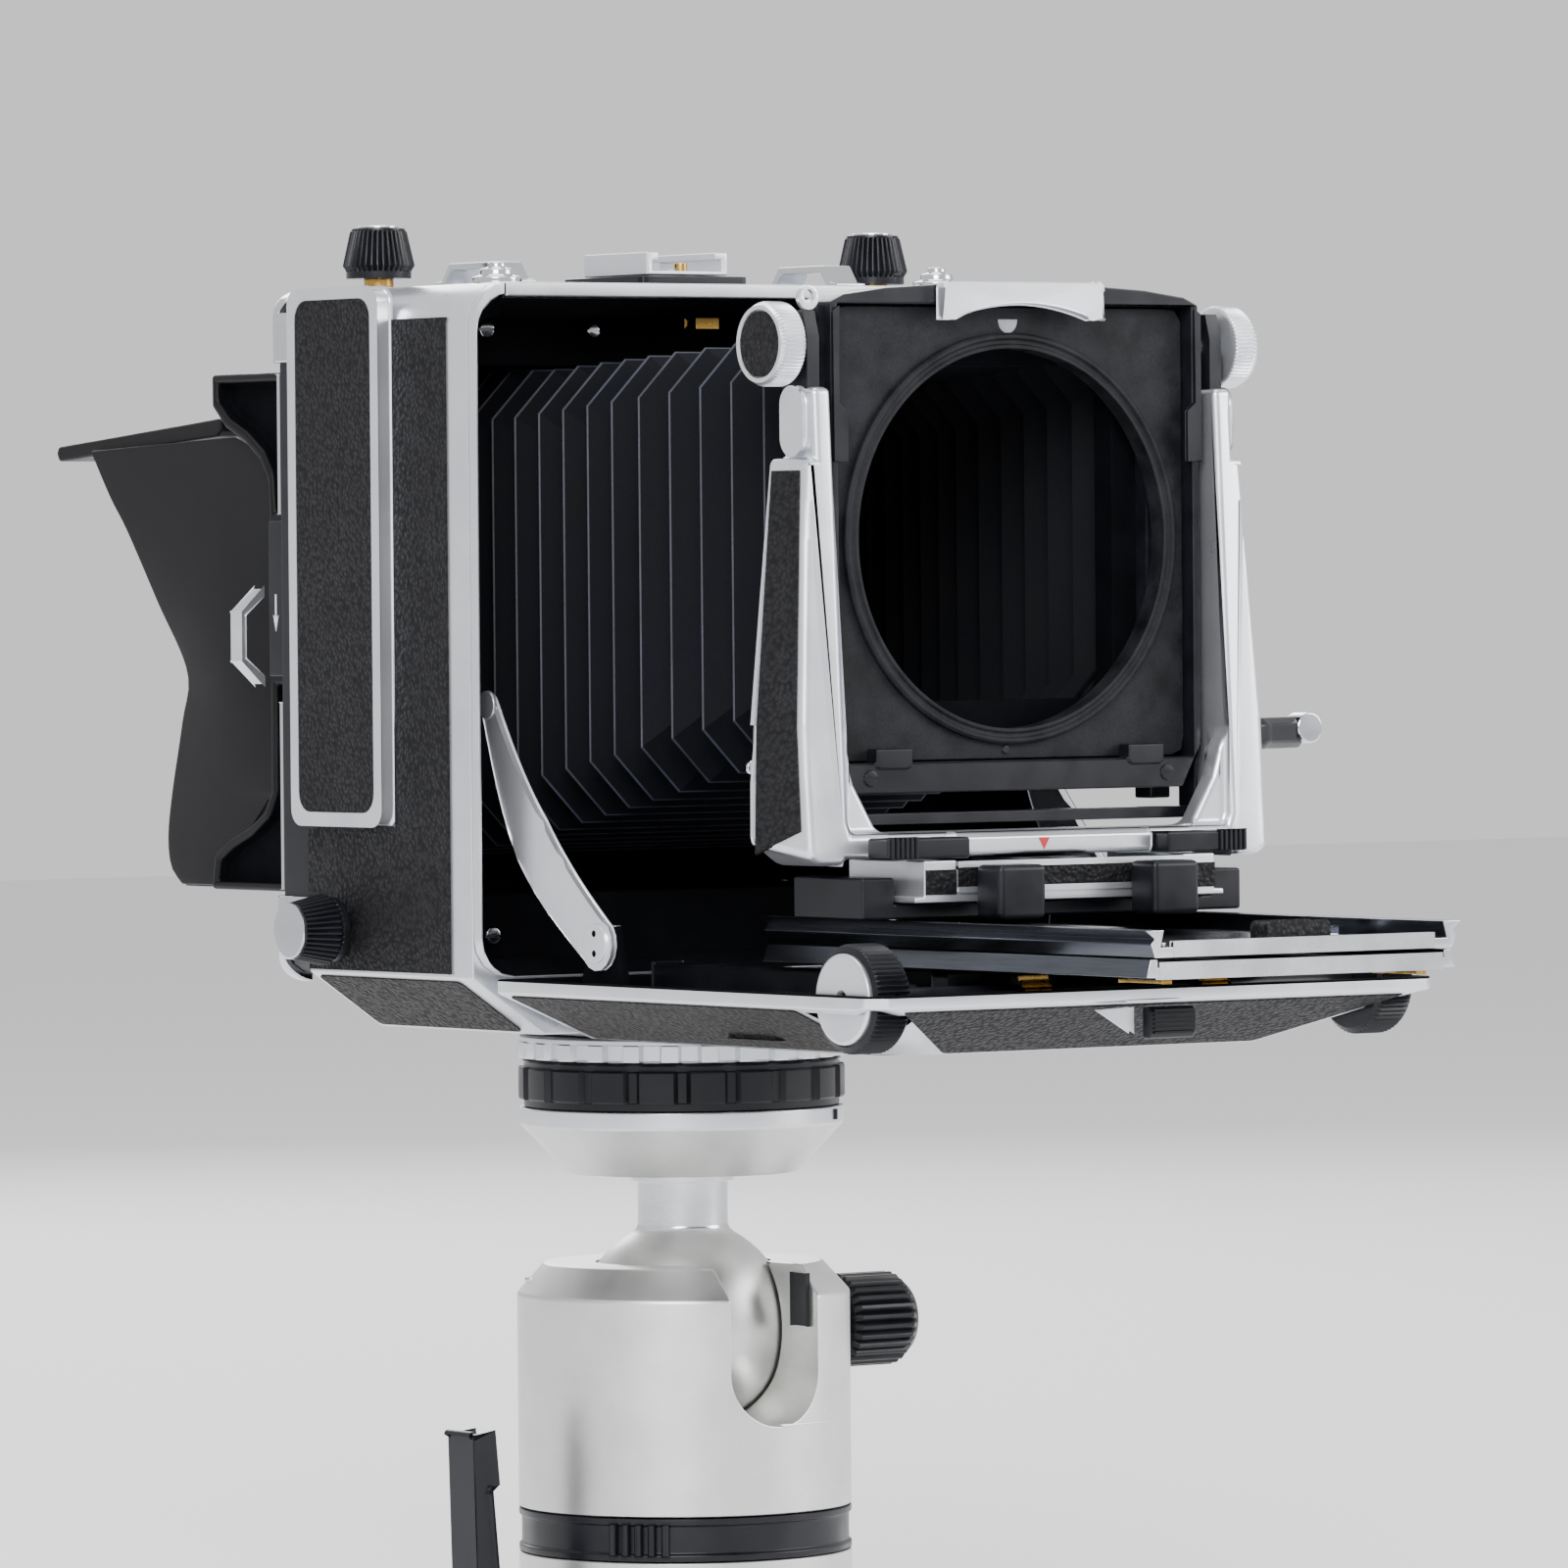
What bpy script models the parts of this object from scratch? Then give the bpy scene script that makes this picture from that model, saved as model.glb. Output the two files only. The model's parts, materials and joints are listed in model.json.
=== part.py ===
"""Folding field camera with its bed open, standing on a tripod ball head.

Dimensions are in millimetres in the lens frame: the origin is the centre of the lens opening on the front
standard, X is right seen from the front, Y is towards the back of the camera, Z is up. The finished objects
are in metres, with the origin under the ball head's base, on the head's axis.
"""

import math

import bmesh
import bpy
from mathutils import Matrix, Vector

MM = 0.001
GAP = 0.3  # clearance between neighbouring pieces
ROUND = 24  # sides of a plain round piece

# driving dimensions, in the lens frame
HEAD_Y = 125.7  # the head's axis behind the lens board
BASE_Z = -274.0  # underside of the head's base
ORIGIN = Vector((0.0, HEAD_Y, BASE_Z))

BODY_HALF = 81.0
BODY_FRONT = 90.0
BODY_BACK = 157.0
BODY_TOP = 58.3
BODY_SIDE_LOW = -97.0  # where the bevel under the body's side starts
BODY_BOTTOM = -110.0
BODY_FLOOR_HALF = 62.0
LIP_FRONT = 86.8  # front plane of the silver bezel
CAVITY_HALF = 77.0
CAVITY_TOP = 51.3
CAVITY_LOW = -93.5
FILM_Z = -19.5  # height of the film's centre
FRAME_HALF = 62.0  # half the square opening towards the back
FLAP_LOW = 55.1  # underside of the flap in the body's top
FLAP_BACK = 115.0  # the flap's hinge line
BUTTON_R = 5.6
BUTTON_WELL = 1.8  # depth of the well that a body button sinks into
ROD_X = 69.2
ROD_R = 2.5
KNOB_Y = 143.8  # the knobs that clamp the back's rods

HEAD_R = 38.3
BALL_Z = -180.0
BALL_R = 24.5
NECK_R = 10.4
DISH_LOW = -144.5
DISH_BAND = -133.2
RING_LOW = -129.2
RING_TOP = -118.0
PLATE_TOP = -112.5
HOUSING_LOW = -221.0
HOUSING_TOP = -165.0
PAN_RING_LOW = -231.0
STUD_R = 4.76  # 3/8 inch tripod stud

BED_HALF = 77.0
BED_FRONT = -57.0
BED_BACK = 86.4
BED_RIM = -97.0
BED_LOW = -111.0
BED_HINGE = (0.0, 88.0, -107.0)
STRUT_X = 73.0
STRUT_PIVOT = (51.6, -88.3)  # Y and Z of a strut's lower pivot
WHEEL_Y = -41.0
WHEEL_Z = -98.0
RAIL_FRONT = -106.5
RAIL_BACK = 34.0
RAIL_HALF = 42.5
RAIL_TOP = -82.7
RAIL_SPLIT = -88.5  # between the upper and the lower rail
RAIL_LOW = -93.2

ARM_IN = 52.3
ARM_TOP_OUT = 61.0
ARM_LOW_OUT = 67.0
ARM_TOP = 33.0
FOOT_TOP = -63.8
FOOT_LOW = -70.5
CARRIER_HALF = 50.2
CARRIER_LOW = -55.3
CARRIER_SIDE_TOP = 51.5
CARRIER_ARCH = 56.0
BOARD_HALF = 48.0
LENS_R = 41.7
KNOB_Z = 42.4

BACK_FRAME_Y = (157.4, 171.0)
REVOLVE_Y = (171.4, 186.0)
HOOD_Y = (186.4, 230.0)
HOOD_HALF = 63.0
HOOD_SIDE_HINGE = 204.3  # hinge line of the left side sheet; the right one folds 4 mm behind it
HOOD_FLAP_HINGE = (233.2, 28.5)  # y, z of the top flap's hinge line

PAINTS = {
    "silver": ((0.60, 0.62, 0.66), 0.35, 0.9),
    "bead_blasted": ((0.50, 0.49, 0.47), 0.45, 0.9),
    "chrome": ((0.80, 0.80, 0.82), 0.15, 1.0),
    "black": ((0.02, 0.02, 0.025), 0.45, 0.2),
    "matte_black": ((0.035, 0.035, 0.04), 0.8, 0.0),
    "leather": ((0.04, 0.04, 0.045), 0.7, 0.0),
    "bellows": ((0.01, 0.011, 0.018), 0.6, 0.0),
    "rail": ((0.75, 0.75, 0.76), 0.25, 1.0),
    "brass": ((0.75, 0.52, 0.20), 0.3, 1.0),
    "glass": ((0.85, 0.88, 0.88), 0.4, 0.0),
}


def clear_scene():
    for obj in list(bpy.data.objects):
        bpy.data.objects.remove(obj)


def paint(name):
    if name in bpy.data.materials:
        return bpy.data.materials[name]
    colour, roughness, metallic = PAINTS[name]
    material = bpy.data.materials.new(name)
    material.use_nodes = True
    shader = material.node_tree.nodes["Principled BSDF"]
    shader.inputs["Base Color"].default_value = (*colour, 1.0)
    shader.inputs["Roughness"].default_value = roughness
    shader.inputs["Metallic"].default_value = metallic
    return material


def world(point):
    return (Vector(point) - ORIGIN) * MM


def group(name, pivot, parent=None):
    """An empty on a joint's axis, which carries the pieces that move with it."""
    empty = bpy.data.objects.new(name, None)
    bpy.context.scene.collection.objects.link(empty)
    hold(empty, pivot, parent)
    return empty


def hold(obj, pivot, parent):
    obj["at"] = list(pivot)
    if parent is None:
        obj.location = world(pivot)
    else:
        obj.parent = parent
        obj.location = (Vector(pivot) - Vector(parent["at"])) * MM


def add(name, bm, colour, parent, pivot=None, smooth=True):
    """Turns a mesh in the lens frame into an object whose origin is the pivot."""
    pivot = Vector(pivot if pivot is not None else parent["at"])
    bmesh.ops.recalc_face_normals(bm, faces=bm.faces)
    bmesh.ops.transform(bm, matrix=Matrix.Scale(MM, 4) @ Matrix.Translation(-pivot), verts=bm.verts)
    mesh = bpy.data.meshes.new(name)
    bm.to_mesh(mesh)
    bm.free()
    if smooth:
        mesh.shade_smooth()
        mesh.set_sharp_from_angle(angle=math.radians(35))
    mesh.materials.append(paint(colour))
    obj = bpy.data.objects.new(name, mesh)
    bpy.context.scene.collection.objects.link(obj)
    hold(obj, pivot, parent)
    return obj


def tool(obj, bm, operation="DIFFERENCE"):
    """Cuts or joins a second mesh, kept as a hidden guide, with the object."""
    name = f"guide_{obj.name}_{len(obj.modifiers)}"
    guide = add(name, bm, "matte_black", obj, pivot=obj["at"], smooth=False)
    guide.hide_render = True
    guide.display_type = "WIRE"
    change = obj.modifiers.new(operation.title(), "BOOLEAN")
    change.operation = operation
    change.solver = "EXACT"
    change.object = guide
    return obj


def soften(obj, width, segments=1, angle=40):
    bevel = obj.modifiers.new("Edges", "BEVEL")
    bevel.width = width * MM
    bevel.segments = segments
    bevel.limit_method = "ANGLE"
    bevel.angle_limit = math.radians(angle)
    return obj


# shapes


def spot(axis, u, v, h):
    """A point at height h along an axis, with u and v on the other two axes in X, Y, Z order."""
    return {"x": (h, u, v), "y": (u, h, v), "z": (u, v, h)}[axis]


def loft(axis, levels):
    """Joins outlines with the same number of points, each at its own height along the axis."""
    bm = bmesh.new()
    rings = [[bm.verts.new(spot(axis, u, v, h)) for u, v in outline] for h, outline in levels]
    for low, high in zip(rings, rings[1:]):
        for i, corner in enumerate(low):
            j = (i + 1) % len(low)
            bm.faces.new((corner, low[j], high[j], high[i]))
    bm.faces.new(rings[0])
    bm.faces.new(rings[-1][::-1])
    return bm


def prism(axis, outline, low, high):
    return loft(axis, [(low, outline), (high, outline)])


def sleeve(axis, levels):
    """A tube between an outer and an inner outline, given at each height along the axis."""
    bm = bmesh.new()
    rings = []
    for h, outer, inner in levels:
        rings.append(([bm.verts.new(spot(axis, u, v, h)) for u, v in outer],
                      [bm.verts.new(spot(axis, u, v, h)) for u, v in inner]))
    for (outer_a, inner_a), (outer_b, inner_b) in zip(rings, rings[1:]):
        for i in range(len(outer_a)):
            j = (i + 1) % len(outer_a)
            bm.faces.new((outer_a[i], outer_a[j], outer_b[j], outer_b[i]))
            bm.faces.new((inner_a[j], inner_a[i], inner_b[i], inner_b[j]))
    for outer, inner in (rings[0], rings[-1]):
        for i in range(len(outer)):
            j = (i + 1) % len(outer)
            bm.faces.new((outer[i], outer[j], inner[j], inner[i]))
    return bm


def box(low, high):
    outline = [(low[0], low[1]), (high[0], low[1]), (high[0], high[1]), (low[0], high[1])]
    return prism("z", outline, low[2], high[2])


def rectangle(u0, u1, v0, v1, radius=0.0, steps=4):
    """A rectangle's outline, with round corners if it has a radius."""
    if not radius:
        return [(u0, v0), (u1, v0), (u1, v1), (u0, v1)]
    points = []
    centres = ((u1 - radius, v0 + radius, -90), (u1 - radius, v1 - radius, 0),
               (u0 + radius, v1 - radius, 90), (u0 + radius, v0 + radius, 180))
    for u, v, start in centres:
        for i in range(steps + 1):
            turn = math.radians(start + 90 * i / steps)
            points.append((u + radius * math.cos(turn), v + radius * math.sin(turn)))
    return points


def circle(u, v, radius, sides=ROUND):
    turns = [2 * math.pi * i / sides for i in range(sides)]
    return [(u + radius * math.cos(t), v + radius * math.sin(t)) for t in turns]


def disc(axis, u, v, radius, low, high, sides=ROUND):
    return prism(axis, circle(u, v, radius, sides), low, high)


def turned(axis, u, v, profile, sides=ROUND):
    """A turned piece: the profile's (radius, height) points run from one end of the axis to the other."""
    bm = bmesh.new()
    rings = []
    for radius, height in profile:
        if radius == 0:
            rings.append([bm.verts.new(spot(axis, u, v, height))])
        else:
            rings.append([bm.verts.new(spot(axis, a, b, height)) for a, b in circle(u, v, radius, sides)])
    closed = profile[0][0] > 0
    pairs = list(zip(rings, rings[1:])) + ([(rings[-1], rings[0])] if closed else [])
    for low, high in pairs:
        for i in range(sides):
            j = (i + 1) % sides
            corners = [low[i % len(low)], low[j % len(low)], high[j % len(high)], high[i % len(high)]]
            corners = [c for k, c in enumerate(corners) if c not in corners[:k]]
            bm.faces.new(corners)
    return bm


def arc(centre_u, centre_v, radius, start, end, steps):
    turns = [math.radians(start + (end - start) * i / steps) for i in range(steps + 1)]
    return [(centre_u + radius * math.cos(t), centre_v + radius * math.sin(t)) for t in turns]


def mirrored(outline):
    """The same outline on the other side of the camera's middle plane."""
    return [(-u, v) for u, v in outline]


SIDES = (("left", -1), ("right", 1))  # left is left seen from the front


def across(side, near, far):
    """A span in X on one side, given as distances from the middle plane, lowest first."""
    return (near, far) if side > 0 else (-far, -near)


# ball head


def make_head():
    base = group("head", (0, HEAD_Y, BASE_Z))
    socket_top = BASE_Z + 12
    add("head_base", turned("z", 0, HEAD_Y, [
        (0, socket_top), (STUD_R, socket_top), (STUD_R, BASE_Z), (30, BASE_Z),
        (33, BASE_Z + 3), (HEAD_R, BASE_Z + 16), (HEAD_R, PAN_RING_LOW - GAP), (0, PAN_RING_LOW - GAP),
    ], 32), "bead_blasted", base)
    make_pan_lever(base)
    pan = group("pan", (0, HEAD_Y, PAN_RING_LOW), base)
    add("pan_ring", turned("z", 0, HEAD_Y, [
        (0, PAN_RING_LOW), (HEAD_R, PAN_RING_LOW), (HEAD_R, HOUSING_LOW - GAP), (0, HOUSING_LOW - GAP),
    ], 32), "black", pan)
    make_housing(pan)
    make_ball_knob(pan)
    ball = group("ball_mount", (0, HEAD_Y, BALL_Z), pan)
    cut = math.degrees(math.acos(NECK_R / BALL_R))
    add("ball", turned("z", 0, HEAD_Y, [
        (0, BALL_Z - BALL_R), *[(r, BALL_Z + h) for r, h in arc(0, 0, BALL_R, -78, cut, 10)],
        (NECK_R, DISH_LOW - GAP), (0, DISH_LOW - GAP),
    ]), "bead_blasted", ball)
    return ball


def make_pan_lever(base):
    hub_z = -242.0
    hub_r = 6.0
    start = -HEAD_R - GAP
    pivot = (start, HEAD_Y, hub_z)
    lever = add("pan_lever", disc("x", HEAD_Y, hub_z, hub_r, -58.0, start, 16), "black", base, pivot)
    arm = [(-5.5, -7), (5.5, -7), (4.5, 22), (5.5, 27), (5.5, 38), (4, 40), (-4, 40), (-5.5, 38)]
    tool(lever, prism("x", [(HEAD_Y + y, hub_z + z) for y, z in arm], -64.5, -53.5), "UNION")


def make_housing(pan):
    socket_r = BALL_R + 0.5
    mouth = math.degrees(math.asin((HOUSING_TOP - BALL_Z) / socket_r))
    socket = [(r, BALL_Z + h) for r, h in arc(0, 0, socket_r, mouth, -80, 9)]
    housing = add("head_housing", turned("z", 0, HEAD_Y, [
        (0, HOUSING_LOW), (HEAD_R, HOUSING_LOW), (HEAD_R, HOUSING_TOP - 7), (32, HOUSING_TOP),
        *socket, (0, BALL_Z - socket_r),
    ], 32), "bead_blasted", pan)
    notch_r, notch_z = 12.0, -189.0
    notch = [*arc(0, notch_z, notch_r, 180, 360, 8), (notch_r, HOUSING_TOP + 5), (-notch_r, HOUSING_TOP + 5)]
    tool(housing, prism("y", notch, HEAD_Y - 50, HEAD_Y - 2))


def make_ball_knob(pan):
    knob_r = 10.9
    start = HEAD_R + GAP
    add("ball_lock_knob", turned("x", HEAD_Y, BALL_Z - 1, [
        (0, start), (6, start), (6, start + 3), (knob_r, start + 4), (knob_r, start + 20),
        (knob_r - 2, start + 22), (0, start + 22),
    ]), "black", pan, (start, HEAD_Y, BALL_Z - 1))


def make_platform(ball):
    """The dish, rings and plate on the ball's neck, which carry the camera."""
    top = group("platform", (0, HEAD_Y, DISH_LOW), ball)
    bore, band_r, dish_r = 5.3, 37.3, 26.6
    pocket_r, pocket_z = 9.5, DISH_LOW + 6
    add("platform_dish", turned("z", 0, HEAD_Y, [
        (0, DISH_LOW), (dish_r, DISH_LOW), (band_r, DISH_BAND), (band_r, RING_LOW), (bore, RING_LOW),
        (bore, pocket_z), (pocket_r, pocket_z), (pocket_r, DISH_LOW + 1.5), (0, DISH_LOW + 1.5),
    ], 32), "bead_blasted", top)
    add("camera_screw", turned("z", 0, HEAD_Y, [
        (0, DISH_LOW + 1.8), (9, DISH_LOW + 1.8), (9, pocket_z - GAP), (STUD_R, pocket_z - GAP),
        (STUD_R, PLATE_TOP - 0.6), (0, PLATE_TOP - 0.6),
    ], 16), "chrome", top)
    add("clamp_ring", sleeve("z", [
        (z, circle(0, HEAD_Y, 37.6, 32), circle(0, HEAD_Y, 26, 32)) for z in (RING_LOW + GAP, RING_TOP - GAP)
    ]), "black", group("ring_mount", (0, HEAD_Y, RING_LOW), top))
    add("camera_plate", turned("z", 0, HEAD_Y, [
        (bore, RING_LOW + GAP), (25.5, RING_LOW + GAP), (25.5, RING_TOP), (37.6, RING_TOP),
        (37.6, PLATE_TOP - GAP), (bore, PLATE_TOP - GAP),
    ], 32), "bead_blasted", top)
    return top


# camera body


def body_outline(grow=0.0):
    """The body's cross-section seen from the front: round top corners and bevelled lower sides."""
    half = BODY_HALF + grow
    corner = 9.0
    right = [(BODY_FLOOR_HALF, BODY_BOTTOM), (half, BODY_SIDE_LOW),
             *arc(half - corner, BODY_TOP - corner, corner, 0, 90, 4)]
    return right + mirrored(right)[::-1]


def make_body(top):
    camera = group("camera", (0, HEAD_Y, BODY_BOTTOM), top)
    shell = add("body_shell", prism("y", body_outline(), BODY_FRONT, BODY_BACK), "leather", camera)
    wall_y = 120.0
    tool(shell, prism("y", rectangle(-CAVITY_HALF, CAVITY_HALF, CAVITY_LOW, CAVITY_TOP, 9),
                      BODY_FRONT - 2, wall_y))
    tool(shell, prism("y", rectangle(-FRAME_HALF, FRAME_HALF, FILM_Z - 60, FILM_Z + 60), wall_y - 2,
                      BODY_BACK + 2))
    for x, z in rod_places():
        tool(shell, disc("y", x, z, ROD_R + GAP, wall_y - 2, BODY_BACK + 2, 12))
    for x, y in button_places():
        tool(shell, disc("z", x, y, BUTTON_R + 0.4, BODY_TOP - BUTTON_WELL, BODY_TOP + 2, 16))
    tool(shell, prism("z", flap_outline(GAP), FLAP_LOW - GAP, BODY_TOP + 2))
    rim = rectangle(-BODY_HALF, BODY_HALF, BODY_SIDE_LOW + GAP, BODY_TOP, 9)
    mouth = rectangle(-CAVITY_HALF, CAVITY_HALF, CAVITY_LOW, CAVITY_TOP, 8)
    lip = sleeve("y", [(LIP_FRONT, rim, mouth), (BODY_FRONT - GAP, rim, mouth)])
    bezel = add("front_bezel", lip, "silver", camera)
    tool(bezel, prism("z", flap_outline(GAP), FLAP_LOW - GAP, BODY_TOP + 2))
    add("body_top_flap", prism("z", flap_outline(), FLAP_LOW, BODY_TOP), "silver",
        group("flap_mount", (0, FLAP_BACK, BODY_TOP), camera))
    tool(shell, prism("z", rectangle(-30, 30, HEAD_Y - 28, HEAD_Y + 26, 4, 2), PLATE_TOP, BODY_BOTTOM + 1),
         "UNION")
    return camera


def flap_outline(grow=0.0):
    """The top flap is a T: wide at the front lip, narrower between the two buttons."""
    wide, narrow, front, step, back = 72.5, 54.0, LIP_FRONT, 98.0, FLAP_BACK
    right = [(narrow + grow, back + grow), (narrow + grow, step + grow), (wide + grow, step + grow),
             (wide + grow, front - 2 * bool(grow))]
    return right + mirrored(right)[::-1]


def rod_places():
    return [(x, z) for z in (48.5, -87.0) for x in (-ROD_X, ROD_X)]


def button_places():
    return [(side * 61.3, 107.4) for _, side in SIDES]


def make_body_fittings(camera):
    for (name, side), (button_x, button_y) in zip(SIDES, button_places()):
        low, high = across(side, BODY_HALF + GAP, BODY_HALF + 4.5)
        plate = add(f"side_plate_{name}", prism("x", rectangle(120.5, 156.6, -62.8, 57.5, 3, 2), low, high),
                    "leather", camera)
        soften(plate, 1.2)
        low, high = across(side, 42.0, 50.0)
        lug_z = BODY_TOP + GAP
        lug = [(120, 0), (124, 0), (127, 4), (143, 4), (146, 0), (150, 0), (150, 1.4), (147, 1.6),
               (144, 5.6), (126, 5.6), (123, 1.6), (120, 1.4)]
        add(f"strap_lug_{name}", prism("x", [(y, lug_z + z) for y, z in lug], low, high), "silver", camera)
        foot = BODY_TOP + GAP
        add(f"body_button_{name}", turned("z", button_x, button_y, [
            (0, foot), (BUTTON_R, foot), (BUTTON_R, foot + 1.5), (3.5, foot + 1.8),
            (3.3, foot + 3.3), (1.8, foot + 3.5), (1.7, foot + 4.8), (0, foot + 4.8),
        ], 16), "silver", camera, (button_x, button_y, foot))
    plate_top = BODY_TOP + 2.8
    plinth = prism("z", rectangle(-15, 15, 117, 150, 2, 2), BODY_TOP + GAP, plate_top)
    add("shoe_base", plinth, "black", camera)
    wall, lip, half, height = 1.6, 3.4, 11.3, 5.2
    floor = plate_top + GAP
    profile = [(-half, 0), (half, 0), (half, height), (half - lip, height), (half - lip, height - wall),
               (half - wall, height - wall), (half - wall, 1), (-half + wall, 1),
               (-half + wall, height - wall), (-half + lip, height - wall), (-half + lip, height),
               (-half, height)]
    add("accessory_shoe", prism("y", [(x, floor + z) for x, z in profile], 120.5, 146), "silver", camera)


def make_bellows(camera):
    """A plain tapering tube in the bellows' place, chamfered at its corners."""
    thick = 1.6

    def section(half, low, high, cut):
        right = [(half - cut, low), (half, low + cut), (half, high - cut), (half - cut, high)]
        return right + mirrored(right)[::-1]

    levels = []
    for y, half, low, high, cut in ((11.5, 42.5, -43.5, 46.5, 9), (112.0, 54, -65, 39.5, 11),
                                    (154.0, 57, -72, 39.5, 12)):
        levels.append((y, section(half, low, high, cut),
                       section(half - thick, low + thick, high - thick, cut - 0.6 * thick)))
    add("bellows", sleeve("y", levels), "bellows", camera)


# the back


def square(half, radius=0.0, steps=4):
    return rectangle(-half, half, FILM_Z - half, FILM_Z + half, radius, steps)


def make_back(camera):
    back = group("back", (0, BODY_BACK, FILM_Z), camera)
    frame_half, corner = 79.0, 9
    frame = add("back_frame", sleeve("y", [
        (y, rectangle(-frame_half, frame_half, -98.5, 57.3, corner), rectangle(
            -FRAME_HALF, FRAME_HALF, FILM_Z - 60, FILM_Z + 60, 2)) for y in BACK_FRAME_Y
    ]), "black", back)
    for x, z in rod_places():
        tool(frame, disc("y", x, z, ROD_R, 122, BODY_BACK + 2, 12), "UNION")
    make_back_knobs(camera)
    turn = group("revolve", (0, REVOLVE_Y[0], FILM_Z), back)
    plate_half = 66.0
    add("revolving_back", sleeve("y", [
        (y, square(plate_half, 18), square(51, 4)) for y in REVOLVE_Y
    ]), "black", turn)
    add("ground_glass", prism("y", square(50.7, 3.8), 178, 180.5), "glass", turn)
    make_hood(turn)
    return back


def make_back_knobs(camera):
    """Each knob clamps one of the rods that the back slides on."""
    pin, skirt, base_r, neck_r = 1.6, 7.6, 8.2, 6.4

    def knob_profile(start, way):
        points = [(0, 0), (3.4, 0), (3.4, pin), (skirt, pin), (skirt, pin + 3.2), (base_r, pin + 3.5),
                  (neck_r, pin + 11.3), (neck_r - 0.9, pin + 12), (0, pin + 12)]
        return [(r, start + way * h) for r, h in points]

    for name, side in SIDES:
        mount = (ROD_X * side, KNOB_Y, BODY_TOP + GAP)
        add(f"back_knob_top_{name}", turned("z", mount[0], mount[1], knob_profile(mount[2], 1)), "black",
            camera, mount)
        mount = (side * (BODY_HALF + GAP), KNOB_Y, -87.0)
        add(f"back_knob_side_{name}", turned("x", mount[1], mount[2], knob_profile(mount[0], side)), "black",
            camera, mount)


def make_hood(turn):
    """The folding hood: a frame with a waisted side wall, a top flap and two folding side sheets."""
    front, back = HOOD_Y
    wall_back = 201.2  # where the side wall is cut away between its upper and lower tabs
    s_curve = [(front, 40.5), (225.7, 40.5), (225.7, 33), (220, 28), (211.7, 24.5), (205.2, 20.3),
               (wall_back + 0.4, 15.1), (wall_back, 4.6), (wall_back + 0.4, -56.8), (204.5, -61.5),
               (211.1, -65.1), (219.9, -68.2), (226.5, -71.8), (227.8, -80), (front, -80)]
    hood = add("hood_base", prism("x", s_curve, -HOOD_HALF, HOOD_HALF), "matte_black", turn)
    tool(hood, box((-52, front - 2, -70), (52, back + 2, 31)))
    tool(hood, box((-52, wall_back + 0.8, -82), (52, back + 2, -68)))  # the side sheets fold in past here
    flap_y, flap_z = HOOD_FLAP_HINGE
    flap = [(0.3, 1.4), (1.5, 2), (74, -3.6), (74.9, -5.2), (73.8, -7.2), (2, -2.4), (0.3, -0.8)]
    add("hood_flap", prism("x", [(flap_y + y, flap_z + z) for y, z in flap], -55.5, 55.5), "matte_black",
        turn, (0, flap_y, flap_z))
    sheet = [(204, 14), (204, -56), (210.3, -59.6), (214, -62.4), (220, -66.8), (227, -70.8), (228.8, -73.5),
             (229, -79.4), (249.5, -79.4), (254.4, -75.3), (255.6, -68), (253.6, -57.6), (248.8, -41),
             (246.4, -29.2), (259.4, -12.6), (272.6, 4.1), (280.4, 12.5), (289, 22.2), (240, 25.5),
             (224, 25.4), (214, 22.6), (210.3, 18)]
    for name, side, hinge_y in (("left", -1, HOOD_SIDE_HINGE), ("right", 1, HOOD_SIDE_HINGE + 4)):
        outline = [(max(y, hinge_y + 0.4), z) for y, z in sheet]
        add(f"hood_side_{name}", prism("x", outline, *across(side, 56.2, 57.6)), "matte_black", turn,
            (57.0 * side, hinge_y, 0))
    low, high = across(-1, HOOD_HALF + GAP, HOOD_HALF + 4.5)
    add("back_slide_lock", prism("x", rectangle(188, 194.5, -30, 6), low, high), "black", turn,
        (low, 191, -12))
    latch = [(198.5, -9.5), (198.5, -32), (210, -26.5), (210, -15)]
    add("hood_pull", prism("x", latch, low - 2, high), "silver", turn, (high, 198.5, -20))


# the bed


def bed_outline(half, front, cut, back=BED_BACK):
    right = [(half, back), (half, front + cut), (half - cut, front)]
    return right + mirrored(right)[::-1]


def make_bed(camera):
    bed = group("bed_mount", BED_HINGE, camera)
    rim_low = BED_RIM - 3.2
    tray = add("bed", loft("z", [
        (BED_LOW, bed_outline(52, BED_FRONT + 24, 9)), (rim_low, bed_outline(BED_HALF, BED_FRONT + 1, 6)),
        (rim_low + 0.4, bed_outline(BED_HALF, BED_FRONT, 4)), (BED_RIM, bed_outline(BED_HALF, BED_FRONT, 4)),
    ]), "silver", bed)
    wall, floor = 2.4, BED_LOW + 2.2
    inner_back = BED_BACK - 3
    tool(tray, loft("z", [
        (floor, bed_outline(50.5, BED_FRONT + 27, 8, inner_back)),
        (rim_low, bed_outline(BED_HALF - wall, BED_FRONT + 6, 8, inner_back)),
        (BED_RIM + 1, bed_outline(BED_HALF - wall, BED_FRONT + wall, 6, inner_back)),
    ]))
    for name, side in SIDES:
        low, high = across(side, 62.2, BED_HALF - wall)
        slot = box((low, WHEEL_Y - 12.4, BED_LOW - 2), (high, WHEEL_Y + 12.4, BED_RIM + 1))
        tool(tray, slot)
    for name, side in SIDES:
        make_bracket(side, tray)
        make_strut(name, side, bed)
    catch = [(-57.4, -101), (-57.4, -108), (-59.6, -108), (-60.6, -106.5), (-60.6, -102), (-59.6, -101)]
    add("bed_catch", prism("x", catch, -6.2, 6.2), "black", bed, (0, -59, -104))
    make_focus_drive(bed)
    return bed


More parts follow.
